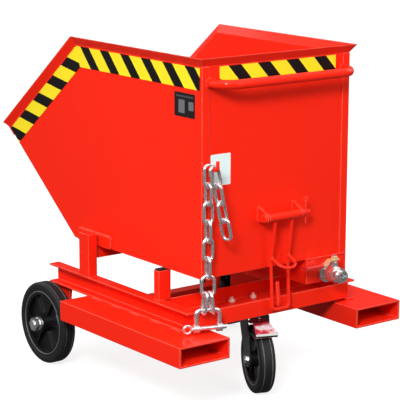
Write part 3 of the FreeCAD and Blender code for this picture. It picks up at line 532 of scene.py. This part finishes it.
def tube(path, plane, radius, sides, closed):
    """A ring of points round each path point: path + radius * (cos a * side + sin a * up)."""
    if closed:
        along = np.roll(path, -1, axis=0) - np.roll(path, 1, axis=0)
    else:
        along = np.gradient(path, axis=0)
    along = along / np.linalg.norm(along, axis=1, keepdims=True)
    side = np.cross(np.broadcast_to(plane, along.shape), along)
    side = side / np.linalg.norm(side, axis=1, keepdims=True)
    up = np.cross(along, side)
    angle = np.linspace(0.0, 2 * math.pi, sides, endpoint=False)[None, :, None]
    ring = np.cos(angle) * side[:, None, :] + np.sin(angle) * up[:, None, :]
    radius = np.broadcast_to(radius, len(path))[:, None, None]
    points = (path[:, None, :] + radius * ring).reshape(-1, 3)
    faces = [grid_faces(len(path), sides, closed, True)]
    if not closed:
        first = np.arange(sides)
        last = first + (len(path) - 1) * sides
        points = np.concatenate([points, path[:1], path[-1:]])
        faces = faces + [fan(first[::-1], len(points) - 2), fan(last, len(points) - 1)]
    return points, faces


def spun(points, axis, degrees):
    """Points stored in rows, turned about one axis."""
    return points @ np.array(Matrix.Rotation(math.radians(degrees), 3, axis)).T


print("tubes ready")

# %% [markdown]
# Hazard tape is a thin strip with black and yellow stripes at about forty-five degrees. The stripes
# could be separate strips of mesh. They are drawn in the strip's own UV instead, which keeps the edge
# of the tape straight: u runs along the strip and v across it, both counted in stripe pitches, and a
# stripe is a band where u plus v has the same remainder.

# %% Tape finish
tape_pitch = 0.1028
stripe_slant = 0.92  # how far a stripe runs back along the tape for one step across it
black_share = 0.44
tape_yellow = (0.92, 0.73, 0.018)
tape_black = (0.004, 0.003, 0.004)

hazard = finish("hazard tape", tape_yellow, rough=0.4, shine=0.2)
tree = hazard.node_tree
strip = add_node(tree, "ShaderNodeUVMap", {}, uv_map="strip").outputs["UV"]
axes = add_node(tree, "ShaderNodeSeparateXYZ", {"Vector": strip}).outputs
remainder = calculated(tree, "FRACT", calculated(tree, "ADD", axes["X"], axes["Y"]))
is_black = calculated(tree, "LESS_THAN", remainder, black_share)
feed(hazard, "Base Color", mixed(tree, (*tape_yellow, 1.0), (*tape_black, 1.0), is_black))
print("tape with stripes every", tape_pitch, "m")

# %% [markdown]
# On each side of the skip the tape runs along under the rim and then down beside the sloped edge, with
# a mitre where the two runs meet. A strip is a grid between an outer and an inner line. Its u is
# measured along the run at every point, so that the stripes keep their slant up to the mitre.

# %% Tape strips
tape_proud = 0.6 * millimetre
tape_thick = 0.4 * millimetre
tape_columns = 4
tape_rows = 9


def tape(name, outer, inner, start, along, shift, width, flip):
    """A strip: point = outer (1 - s) + inner s, u from start along the run, v = s times the width."""
    across = np.linspace(0.0, 1.0, tape_columns)
    points = outer[:, None, :] * (1 - across[:, None]) + inner[:, None, :] * across[:, None]
    faces = grid_faces(*points.shape[:2], False, False)
    if flip:
        faces = faces[:, ::-1]
    strip_piece = piece(name, points.reshape(-1, 3), [faces], hazard, "skip", smooth=False)
    u = (points - start) @ along + shift
    v = np.broadcast_to(across * width * stripe_slant, u.shape)
    lay_uv(strip_piece, "strip", np.stack([u, v], axis=-1).reshape(-1, 2) / tape_pitch, faces)
    thicken(strip_piece, tape_thick)


print("strips of", tape_rows, "by", tape_columns, "points")

# %% [markdown]
# The rim of the side plate has two straight runs, level and sloped. A line at a set distance inside
# both runs has a corner on the bisector at the apex, and it ends where it meets the front edge of the
# plate. Two such lines bound the tape. They are worked out and not placed by eye, so the mitre closes.

# %% Lines inside the rim
side_plate_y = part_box("hinge_plate_left")[0].y
rim_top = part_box("skip_side_left")[1].z
lip_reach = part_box("skip_side_left")[1].x
apex_x = 0.158
lip_top = 0.689
nose_x, nose_z = 0.167, 0.386
tape_width = 0.061
tape_below_rim = 0.028
tape_lip_gap = 0.002


def inside_rim(distance):
    """The corner and the front end of a line that runs a distance inside the rim, in x and z."""
    slope = np.array([lip_reach - apex_x, lip_top - rim_top])
    slope = slope / np.linalg.norm(slope)
    inward = np.array([slope[1], -slope[0]])
    start = np.array([apex_x, rim_top]) + inward * distance
    corner = start + slope * (rim_top - distance - start[1]) / slope[1]
    front = np.array([lip_reach - nose_x, lip_top - nose_z])
    ways = np.stack([slope, -front], axis=1)
    reach = np.linalg.solve(ways, np.array([nose_x, nose_z]) - start)[0] - tape_lip_gap
    return corner, start + slope * reach


def side_line(start, stop, y):
    """Evenly spaced points from one (x, z) place to another on a side plate."""
    share = np.linspace(0.0, 1.0, tape_rows)[:, None]
    run = np.asarray(start) * (1 - share) + np.asarray(stop) * share
    return np.stack([run[:, 0], np.full(tape_rows, y), run[:, 1]], axis=1)


print("tape", tape_width, "m wide,", tape_below_rim, "m inside the rim")

# %% [markdown]
# Each side plate has a level strip from the rear to the mitre and a sloped one from the mitre to the
# front. The right side mirrors the left, so its faces are turned round to look outwards.

# %% Tape under the rims of both sides
tape_rear_end = -0.457
level_shift = 0.0795  # where the stripes start, from the rear end and from the apex
slope_shift = 0.0402

outer_corner, outer_end = inside_rim(tape_below_rim)
inner_corner, inner_end = inside_rim(tape_below_rim + tape_width)
for side_name, side in (("left", 1), ("right", -1)):
    y = side * (side_plate_y + tape_proud)
    outer = side_line((tape_rear_end, outer_corner[1]), outer_corner, y)
    inner = side_line((tape_rear_end, inner_corner[1]), inner_corner, y)
    tape("tape_level_" + side_name, outer, inner, outer[0], x_axis, level_shift, tape_width, side < 0)
    outer = side_line(outer_corner, outer_end, y)
    inner = side_line(inner_corner, inner_end, y)
    downhill = (outer[-1] - outer[0]) / np.linalg.norm(outer[-1] - outer[0])
    tape("tape_slope_" + side_name, outer, inner, outer[0], downhill, slope_shift, tape_width, side < 0)
print("tape from", tape_rear_end, "round the apex to", np.round(outer_end, 3))

# %% [markdown]
# On the rear wall one short, narrower strip runs level behind the push handle. The same helper makes
# it, so that its stripes have the pitch and slant of the long ones. They are counted from the middle of
# the wall towards the left.

# %% Tape behind the push handle
rear_sheet_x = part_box("latch_lugs")[1].x
rear_tape_top = 0.973
rear_tape_width = 0.048
rear_tape_left = 0.2045
rear_tape_right = -0.2145
rear_shift = -0.0273

share = np.linspace(0.0, 1.0, tape_rows)
level = rear_tape_left * (1 - share) + rear_tape_right * share
face_x = np.full(tape_rows, rear_sheet_x - tape_proud)
outer = np.stack([face_x, level, np.full(tape_rows, rear_tape_top)], axis=1)
inner = outer - rear_tape_width * z_axis
tape("tape_rear", outer, inner, np.zeros(3), y_axis, rear_shift, rear_tape_width, False)
print("rear tape", round(rear_tape_left - rear_tape_right, 4), "m long")

# %% [markdown]
# A skip carries bare plates: here a white label on the rear wall and a dark rating plate on the left
# side. Each is a rounded rectangle. A cube with a bevel would do, but a fan from the middle of the
# plate to its outline gives an even UV for the fields that are drawn on it.

# %% White label
plate_corner_points = 8
label_thick = 0.4 * millimetre
label_corner = 0.003
label_size = (0.069, 0.088)
label_middle = (rear_sheet_x - label_thick, 0.1995, 0.688)


def rounded_outline(width, height, corner):
    """A rectangle with quarter circles at its corners, once round, as right and up distances."""
    angle = np.linspace(0.0, math.pi / 2, plate_corner_points)
    quarter = np.stack([np.cos(angle), np.sin(angle)], axis=1) * corner
    turns = [spun(np.pad(quarter, ((0, 0), (0, 1))), "Z", 90 * i)[:, :2] for i in range(4)]
    corners = np.array([(1, 1), (-1, 1), (-1, -1), (1, -1)], float)
    middles = corners * (np.array([width, height]) / 2 - corner)
    return np.concatenate([turn + middle for turn, middle in zip(turns, middles)])


def flat_plate(name, middle, right, size, corner, thick, material, body):
    """An upright fan from the middle of a plate to its outline: middle + right distance + up distance."""
    outline = rounded_outline(*size, corner)
    rim = np.asarray(middle) + outline[:, :1] * right + outline[:, 1:] * z_axis
    points = np.concatenate([rim, [middle]])
    faces = fan(np.arange(len(rim)), len(rim))
    plate = piece(name, points, [faces], material, body, smooth=False)
    lay_uv(plate, "plate", np.concatenate([outline / np.array(size) + 0.5, [[0.5, 0.5]]]), faces)
    thicken(plate, thick)


label_white = finish("white label", (0.74, 0.86, 0.84), rough=0.35)
vary_gloss(label_white, scale=60.0, low=0.3, high=0.42)
flat_plate("rear_label", label_middle, -y_axis, label_size, label_corner, label_thick,
           label_white, "skip")
print("white label of", label_size)

# %% [markdown]
# The rating plate has two blank grey fields and a thin line above them. A picture could carry them,
# but rectangles in the plate's own UV stay sharp from near and far. The grey share of a field is a
# product of four comparisons, and the shares of all fields are added up.

# %% Dark rating plate
plate_dark = (0.010, 0.009, 0.010)
plate_grey = (0.14, 0.14, 0.15)
rating_corner = 0.002
rating_size = (0.093, 0.067)
rating_middle = (-0.3885, side_plate_y + label_thick, 0.8635)
field_shares = {  # left, right, bottom and top on the plate, and share of the grey
    "wide": (0.20, 0.50, 0.16, 0.70, 1.0),
    "narrow": (0.69, 0.93, 0.31, 0.67, 1.0),
    "line": (0.07, 0.90, 0.82, 0.88, 0.45),
}

rating_dark = finish("dark rating plate", plate_dark, rough=0.34, shine=0.25)
plate_tree = rating_dark.node_tree
spot = add_node(plate_tree, "ShaderNodeUVMap", {}, uv_map="plate").outputs["UV"]
spot_parts = add_node(plate_tree, "ShaderNodeSeparateXYZ", {"Vector": spot}).outputs


def within(place, low, high):
    """One where a coordinate of the plate lies between two shares, else zero."""
    above = calculated(plate_tree, "GREATER_THAN", place, low)
    return calculated(plate_tree, "MULTIPLY", above, calculated(plate_tree, "LESS_THAN", place, high))


def field(left, right, bottom, top, strength):
    """A rectangle on the plate, with a share of the grey."""
    across, up = within(spot_parts["X"], left, right), within(spot_parts["Y"], bottom, top)
    return calculated(plate_tree, "MULTIPLY", calculated(plate_tree, "MULTIPLY", across, up), strength)


grey_share = 0.0
for shares in field_shares.values():
    grey_share = calculated(plate_tree, "ADD", field(*shares), grey_share)
feed(rating_dark, "Base Color", mixed(plate_tree, (*plate_dark, 1.0), (*plate_grey, 1.0), grey_share))
vary_gloss(rating_dark, scale=60.0, low=0.28, high=0.42)
flat_plate("rating_plate", rating_middle, -x_axis, rating_size, rating_corner, label_thick,
           rating_dark, "skip")
print("dark plate of", rating_size, "with", len(field_shares), "fields")

# %% [markdown]
# A chain link is one round wire bent into an oval: two straight bars and two half circles. A torus that
# is pulled long would have no straight bars, so the oval is worked out as a path. The wire's radius
# swells a little at the weld on one bar. Each link hangs in the one above, a quarter turn on.

# %% Chain links
link_wire = 0.009
link_width = 0.018
link_length = 0.052
link_loose = 0.0005
link_half = (link_length + link_wire) / 2
link_step = link_length - link_loose
weld_swell = 0.06  # share by which the wire swells at its weld
weld_reach = 0.005
arc_points = 14
bar_points = 9
wire_sides = 14


def link_at_origin(width):
    """An oval in the XZ plane: bars at x = plus and minus r, half circles of radius r above and below."""
    radius = (width + link_wire) / 2
    straight = (link_length - width) / 2
    angle = np.linspace(0.0, math.pi, arc_points)
    bar = np.linspace(-straight, straight, bar_points)[1:-1]
    arc_x, arc_z = radius * np.cos(angle), radius * np.sin(angle)
    x = np.concatenate([arc_x, np.full(len(bar), -radius), -arc_x, np.full(len(bar), radius)])
    z = np.concatenate([arc_z + straight, -bar, -arc_z - straight, bar])
    path = np.stack([x, np.zeros(len(x)), z], axis=1)
    swell = weld_swell * np.exp(-((z / weld_reach) ** 2)) * (x < 0)
    return tube(path, y_axis, link_wire / 2 * (1 + swell), wire_sides, True)


def hung(index, twist, width=link_width):
    """A link below its hook, turned a quarter and the twist on for each link above it."""
    points, faces = link_at_origin(width)
    points = spun(points, "Z", 90 + (90 + twist) * index)
    return points - (link_half + index * link_step) * z_axis, faces


print("links", link_length + 2 * link_wire, "m long, of", link_wire, "m wire")

# %% [markdown]
# The strand hangs on the hook and twists a little on its way down. Its last link is wider and carries
# two legs, which lean apart and hold the shackle. An Array modifier could repeat a link, but not with
# one that is wider, so each link is placed by itself. They replace the plainer links of the CAD model.

# %% Strand and legs
strand_count = 7
strand_twist = -17.0
junction_width = 0.028
leg_loose = 0.0026
leg_offset = 0.0074
leg_lean = 7.0

strand_low, strand_high = np.array(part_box("chain_strand"))
strand_top = np.append((strand_low + strand_high)[:2] / 2, strand_high[2] - link_wire / 2)
each_twist = strand_twist / (strand_count - 1)
link_widths = [link_width] * (strand_count - 1) + [junction_width]
points, faces = stacked([hung(i, each_twist, width) for i, width in enumerate(link_widths)])
strand = piece("round_strand", points + strand_top, faces, zinc, "chain")
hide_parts("chain_strand")

junction_radius = (junction_width + link_wire) / 2
junction_bottom = -2 * link_half - (strand_count - 1) * link_step
leg_seat = junction_bottom + junction_radius - math.sqrt(junction_radius ** 2 - leg_offset ** 2)
leg_links = []
for side in (1, -1):
    points, faces = link_at_origin(link_width)
    points = points + (link_wire + leg_loose - link_half) * z_axis
    points = spun(points, "X", side * leg_lean) + np.array([0.0, side * leg_offset, leg_seat])
    leg_links.append((spun(points, "Z", strand_twist), faces))
points, faces = stacked(leg_links)
legs = piece("round_legs", points + strand_top, faces, zinc, "chain")
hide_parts("chain_legs")
print(strand_count, "links in the strand,", len(leg_links), "in the legs")

# %% [markdown]
# The tail is the loose end of the chain. It hangs on the same hook, behind the strand, and leans to the
# right. Its links hang straight first and are then turned about the hook, which is simpler than finding
# a place for each one on a slant.

# %% Tail
tail_count = 4
tail_twist = 7.0
tail_lean = -13.5
tail_behind = 0.025

hook_low, hook_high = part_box("chain_hooks")
hook_radius = (hook_high.y - hook_low.y) / 2
hook_middle = np.array([strand_top[0] - tail_behind, strand_top[1], hook_low.z + hook_radius])
points, faces = stacked([hung(i, tail_twist) for i in range(tail_count)])
points = points + (hook_radius + link_wire / 2 + link_loose) * z_axis
tail = piece("round_tail", spun(points, "X", tail_lean) + hook_middle, faces, zinc, "chain_tail")
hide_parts("chain_tail")
print(tail_count, "links in the tail")

# %% [markdown]
# A moulded tyre is a profile turned round the axle: a sidewall with a step, a round shoulder and a tread
# with two shallow grooves. A Screw modifier could turn it. Here the profile is one closed line of radius
# and width, so the turned grid closes both ways and needs no ends.

# %% Profile of a tyre
tyre_turns = 120
shoulder_radius = 0.009
shoulder_points = 7
groove_half = 0.0022
groove_deep = 0.002
groove_aside = 0.012
seat_in = 0.004  # in from the side of the tyre, at the rim seat
seat_edge_in = 0.0035  # at the edge above the seat
sidewall_step = 0.0012  # and on the lower part of the sidewall
seat_edge_high = 0.003  # out from the rim seat, at that edge
sidewall_foot = 0.004  # and at the foot of the sidewall
step_run = 0.0015  # radial run of the step in the middle of the sidewall


def tyre_profile(radius, half, seat):
    """Half of the profile from the rim seat to the middle of the tread, then its mirror image."""
    angle = np.linspace(0.0, math.pi / 2, shoulder_points)
    shoulder = np.stack([np.sin(angle), np.cos(angle)], axis=1) - 1
    shoulder = np.array([radius, half]) + shoulder_radius * shoulder
    step_at = (seat + radius - shoulder_radius) / 2
    flank = [
        (seat, half - seat_in),
        (seat + seat_edge_high, half - seat_edge_in),
        (seat + sidewall_foot, half - sidewall_step),
        (step_at, half - sidewall_step),
        (step_at + step_run, half),
    ]
    groove = [
        (radius, groove_aside + groove_half),
        (radius - groove_deep, groove_aside + groove_half / 2),
        (radius - groove_deep, groove_aside - groove_half / 2),
        (radius, groove_aside - groove_half),
    ]
    upper = np.concatenate([flank, shoulder, groove])
    return np.concatenate([upper, upper[::-1] * np.array([1, -1])])


print("grooves", groove_deep, "m deep, shoulders of", shoulder_radius, "m radius")

# %% [markdown]
# The profile is swept round the axle, which runs along Y. The same circles carry the rings below.

# %% Turn a profile


def circle(radius, across):
    """Places round the Y axis for each radius and distance across: x = r cos t, y = across, z = r sin t."""
    angle = np.linspace(0.0, 2 * math.pi, tyre_turns, endpoint=False)[:, None]
    level = np.broadcast_to(across, (tyre_turns, len(across)))
    return np.stack([radius * np.cos(angle), level, radius * np.sin(angle)], axis=-1)


def turned(profile):
    """Each profile point (r, y) swept round the Y axis."""
    grid = circle(profile[:, 0], profile[:, 1])
    return grid.reshape(-1, 3), [grid_faces(tyre_turns, len(profile), True, True)[:, ::-1]]


print("tyre profile turned in", tyre_turns, "steps")

# %% [markdown]
# A round bead marks the seam of tyre and rim, and two grooves run round the tread. Thin pale rings on both
# are a painted highlight. They are pieces and not paint, because the bead stands out of the sidewall.

# %% Rings of painted highlight
bead_out = 0.0015  # round bead at the seam of tyre and rim, out from the rim seat
bead_in = 0.0026  # and in from the side of the tyre
ring_radius = 0.0018
ring_sides = 10

# the pale rubber of the bead and groove rings is a painted highlight
highlight_rubber = finish("rubber with painted highlight", (0.10, 0.10, 0.103), rough=0.4)
vary_colour(highlight_rubber, scale=60.0, dark=(0.06, 0.06, 0.063), light=(0.15, 0.15, 0.154))
vary_gloss(highlight_rubber, scale=90.0, low=0.3, high=0.5)


def wire_ring(radius, across):
    """A thin wire bent to a circle round the Y axis, at a distance across the wheel."""
    path = circle(np.array([radius]), np.array([across]))[:, 0]
    return tube(path, y_axis, ring_radius, ring_sides, True)


print("rings of", ring_radius, "m radius")

# %% [markdown]
# Two tyres roll at the front. The castor stands turned at rest, as if it had just been pushed, so its
# tyre is turned before it is set in place. Edges above a set angle stay sharp, because a tread that is
# smooth all over loses its grooves. Each moulded tyre replaces the plain one of the CAD model.

# %% Tyres
front_tyre_width = 0.044
front_rim_radius = 0.095
castor_tyre_width = 0.046
castor_rim_radius = 0.074
castor_turn = -21.0
rim_clear = 0.08 * millimetre
floor_clear = 0.05 * millimetre
tread_edge = math.radians(35.0)

wheels = {
    "front_wheel_left": (front_tyre_width, front_rim_radius, 0.0),
    "front_wheel_right": (front_tyre_width, front_rim_radius, 0.0),
    "castor_wheel": (castor_tyre_width, castor_rim_radius, castor_turn),
}
for body, (width, rim_radius, turn_about) in wheels.items():
    low, high = np.array(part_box(body + "_tyre"))
    middle = (low + high) / 2
    radius, half, seat = middle[2], width / 2, rim_radius + rim_clear
    points, faces = turned(tyre_profile(radius - floor_clear, half, seat))
    points = spun(points, "Z", turn_about) + middle
    tyre = piece(body + "_moulded_tyre", points, faces, rubber, body)
    tyre.data.shade_smooth()
    tyre.data.set_sharp_from_angle(angle=tread_edge)
    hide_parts(body + "_tyre")
    # pale rings of painted highlight on the bead and in the grooves
    places = [(seat + bead_out, half - bead_in), (radius - groove_deep, groove_aside)]
    rings = [wire_ring(r, side * across) for r, across in places for side in (1, -1)]
    points, faces = stacked(rings)
    piece(body + "_rings", spun(points, "Z", turn_about) + middle, faces, highlight_rubber, body)
print(len(wheels), "moulded tyres with", len(rings), "rings each")

# %% [markdown]
# A weld seam is a string of small ripples. A bump in the paint would vanish from the side, so it is a
# thin tube along the seam whose radius goes up and down, r = r0 (1 + ripple cos(2 pi s / pitch)), with s
# the way along the seam. Most of the tube is buried in the two plates, so that a rounded bead shows.

# %% Weld seams
bead_radius = 0.0024
bead_pitch = 0.004
bead_steps = 4
bead_sides = 8
bead_ripple = 0.12
bead_end = 0.25  # share of the radius that is left at the ends of a seam
fewest_steps = 6


def seam(start, stop):
    """A rippled tube from one point to another, given in millimetres, that thins out at its ends."""
    start, stop = np.array(start, float) * millimetre, np.array(stop, float) * millimetre
    length = np.linalg.norm(stop - start)
    share = np.linspace(0.0, 1.0, max(fewest_steps, int(length / bead_pitch * bead_steps)))
    path = start + (stop - start) * share[:, None]
    radius = bead_radius * (1 + bead_ripple * np.cos(2 * math.pi * share * length / bead_pitch))
    radius = radius * np.minimum(1.0, np.minimum(share, 1 - share) * length / bead_radius + bead_end)
    plane = x_axis if abs(stop - start)[0] < length / 2 else z_axis
    return tube(path, plane, radius, bead_sides, False)


def stitches(start, stop, count, share):
    """Short seams spread evenly along a line, each a share of its division."""
    start, run = np.array(start, float), np.array(stop, float) - np.array(start, float)
    half = share / count / 2
    places = (np.arange(count) + 0.5) / count
    return [seam(start + run * (at - half), start + run * (at + half)) for at in places]


print("seams ripple every", bead_pitch, "m")

# %% [markdown]
# A round rod is welded to its plate by a ring of the same ripples. Seams take their places from the
# boxes of the CAD nodes, which are read in millimetres, as on a drawing.

# %% Ring seams and places


def ring_seam(middle, radius):
    """A rippled ring round a rod that stands on a plate square to X, in millimetres."""
    radius = radius * millimetre
    ripples = 2 * math.pi * radius / bead_pitch
    angle = np.linspace(0.0, 2 * math.pi, int(ripples * bead_steps), endpoint=False)
    path = np.stack([np.zeros(len(angle)), np.cos(angle), np.sin(angle)], axis=1) * radius
    path = path + np.array(middle, float) * millimetre
    thickness = bead_radius * (1 + bead_ripple * np.cos(angle * round(ripples)))
    return tube(path, x_axis, thickness, bead_sides, True)


def spans(node):
    """The low and high x, y and z of a CAD node, in millimetres to a hundredth."""
    return np.round(np.array(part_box(node)).T / millimetre, 2)


print("left channel spans", spans("channel_left").tolist())

# %% [markdown]
# On the chassis the channels are stitched to the fork pockets, and posts, axle brackets, cross member
# and catch plate are welded where they stand on their neighbours. Each seam takes its place from the
# boxes of the two nodes, and stops a little short of their ends. All seams of a body make one piece.

# %% Seams of the chassis
foot_inset = 1  # millimetres that a seam stops short: at the foot of a post
web_inset = 2  # along a web
bracket_inset = 3  # at a bracket
stitch_inset = 5  # at the rear end of a channel
stitch_count = 5
stitch_share = 0.45

channel_x, channel_y, channel_z = spans("channel_left")
pocket_front = spans("fork_pocket_left")[0][1]
post_x, post_y, post_z = spans("pivot_post_left")
rest_x, rest_y, rest_z = spans("rest_post_left")
bracket_x, bracket_y, bracket_z = spans("axle_bracket_left")
cross_x, _, cross_z = spans("rear_cross_member")
_, catch_y, catch_z = spans("latch_catch")
post_ends = post_x + np.array([foot_inset, -foot_inset])
rest_ends = rest_x + np.array([foot_inset, -foot_inset])
bracket_ends = bracket_x + np.array([bracket_inset, -bracket_inset])
web_ends = cross_z + np.array([web_inset, -web_inset])

chassis_seams = []
for side in (1, -1):
    for y in side * channel_y[::-1]:
        start = (channel_x[0] + stitch_inset, y, channel_z[0])
        stop = (pocket_front - web_inset, y, channel_z[0])
        chassis_seams += stitches(start, stop, stitch_count, stitch_share)
    inner, outer = side * (post_y[0] + foot_inset), side * (post_y[1] - foot_inset)
    chassis_seams += [seam((x, inner, post_z[0]), (x, outer, post_z[0])) for x in post_x]
    chassis_seams.append(seam(*[(x, side * post_y[0], post_z[0]) for x in post_ends]))
    inner, outer = side * (channel_y[0] + foot_inset), side * (rest_y[1] - foot_inset)
    chassis_seams += [seam((x, inner, rest_z[0]), (x, outer, rest_z[0])) for x in rest_x]
    chassis_seams.append(seam(*[(x, side * rest_y[1], rest_z[0]) for x in rest_ends]))
    for y in side * bracket_y:
        chassis_seams.append(seam(*[(x, y, bracket_z[1]) for x in bracket_ends]))
    chassis_seams.append(seam(*[(cross_x[1], side * channel_y[0], z) for z in web_ends]))
    catch_ends = (catch_z[0] + web_inset, cross_z[1] - foot_inset)
    chassis_seams.append(seam(*[(cross_x[0], side * catch_y[1], z) for z in catch_ends]))
points, faces = stacked(chassis_seams)
piece("weld_seams_chassis", points, faces, red_paint, "chassis")
print(len(chassis_seams), "seams on the chassis")

# %% [markdown]
# On the skip the hinge plates, latch lugs, corner flanges and drain sump have straight seams, and the
# push handle and the chain hook, which are round rods, have a ring where they stand on a flange. The
# corner flanges are only stitched, as thin sheet would warp under a long weld.

# %% Seams of the skip
hinge_inset = 8  # millimetres, as the corners of a hinge plate are round
lug_thick = 8
flange_inset = 4
flange_below_rim = 30
flange_count = 6
flange_share = 0.3
hook_rod_radius = 5

hinge_x, hinge_y, hinge_z = spans("hinge_plate_left")
_, handle_y, handle_z = spans("push_handle")
lug_x, lug_y, lug_z = spans("latch_lugs")
_, flange_y, flange_z = spans("skip_side_left")
hook_x, hook_y, hook_z = spans("chain_hooks")
sump_x, sump_y, sump_z = spans("drain_sump")
handle_radius = (handle_z[1] - handle_z[0]) / 2
hinge_ends = hinge_x + np.array([hinge_inset, -hinge_inset])
lug_ends = lug_z + np.array([foot_inset, -foot_inset])
flange_ends = flange_z + np.array([flange_inset, -flange_below_rim])
sump_ends = sump_y + np.array([web_inset, -web_inset])

skip_seams = []
for side in (1, -1):
    skip_seams.append(seam(*[(x, side * hinge_y[0], hinge_z[1]) for x in hinge_ends]))
    handle_end = (hook_x[1], side * (handle_y[1] - handle_radius), handle_z.mean())
    skip_seams.append(ring_seam(handle_end, handle_radius))
    for y in (lug_y[1] - lug_thick, lug_y[1]):
        skip_seams.append(seam(*[(lug_x[1], side * y, z) for z in lug_ends]))
    flange_line = [(lug_x[1], side * flange_y[0], z) for z in flange_ends]
    skip_seams += stitches(*flange_line, flange_count, flange_share)
skip_seams.append(ring_seam((hook_x[1], hook_y.mean(), hook_z[0] + hook_rod_radius), hook_rod_radius))
skip_seams.append(seam(*[(sump_x[0], y, sump_z[1]) for y in sump_ends]))
sump_side = (sump_x[0] + foot_inset, sump_x[1] - web_inset)
skip_seams.append(seam(*[(x, sump_y[1], sump_z[1]) for x in sump_side]))
points, faces = stacked(skip_seams)
piece("weld_seams_skip", points, faces, red_paint, "skip")
print(len(skip_seams), "seams on the skip")

# %% [markdown]
# The tread of the brake pedal ends in a turned-down lip. The upper part of that lip is bright, and a
# dark strip of the rubber finish covers the rest. One plate with two colours would do, but two
# thin plates show the step between them. They stand on the lip and turn with the castor.

# %% Lip of the brake pedal
swivel_low, swivel_high = np.array(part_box("castor_kingpin"))
swivel = np.array([(swivel_low[0] + swivel_high[0]) / 2, 0.0, 0.0])
lip_x = -0.1240  # from the swivel, before the castor is turned
lip_width = 0.065
lip_corner = 0.001
lip_thick = 0.3 * millimetre

# a bright finish for the upper part of the pedal lip
bright_lip_finish = finish("bright lip finish", (0.92, 0.92, 0.91), rough=0.34, metal=0.25)
vary_colour(bright_lip_finish, scale=140.0, dark=(0.86, 0.85, 0.84), light=(0.95, 0.95, 0.94))
vary_gloss(bright_lip_finish, scale=200.0, low=0.26, high=0.5)
pedal_strips = {  # top, height, finish and slot
    "pedal_edge": (0.1970, 0.0066, bright_lip_finish, "zinc"),
    "pedal_strip": (0.1902, 0.0047, rubber, "buffer"),
}
lip_right = spun(-y_axis, "Z", castor_turn)
for name, (top, height, material, slot) in pedal_strips.items():
    middle = spun(np.array([lip_x - lip_thick, 0.0, top - height / 2]), "Z", castor_turn) + swivel
    flat_plate(name, middle, lip_right, (lip_width, height), lip_corner, lip_thick,
               material, "brake_pedal")
print(len(pedal_strips), "strips", lip_width, "m wide")
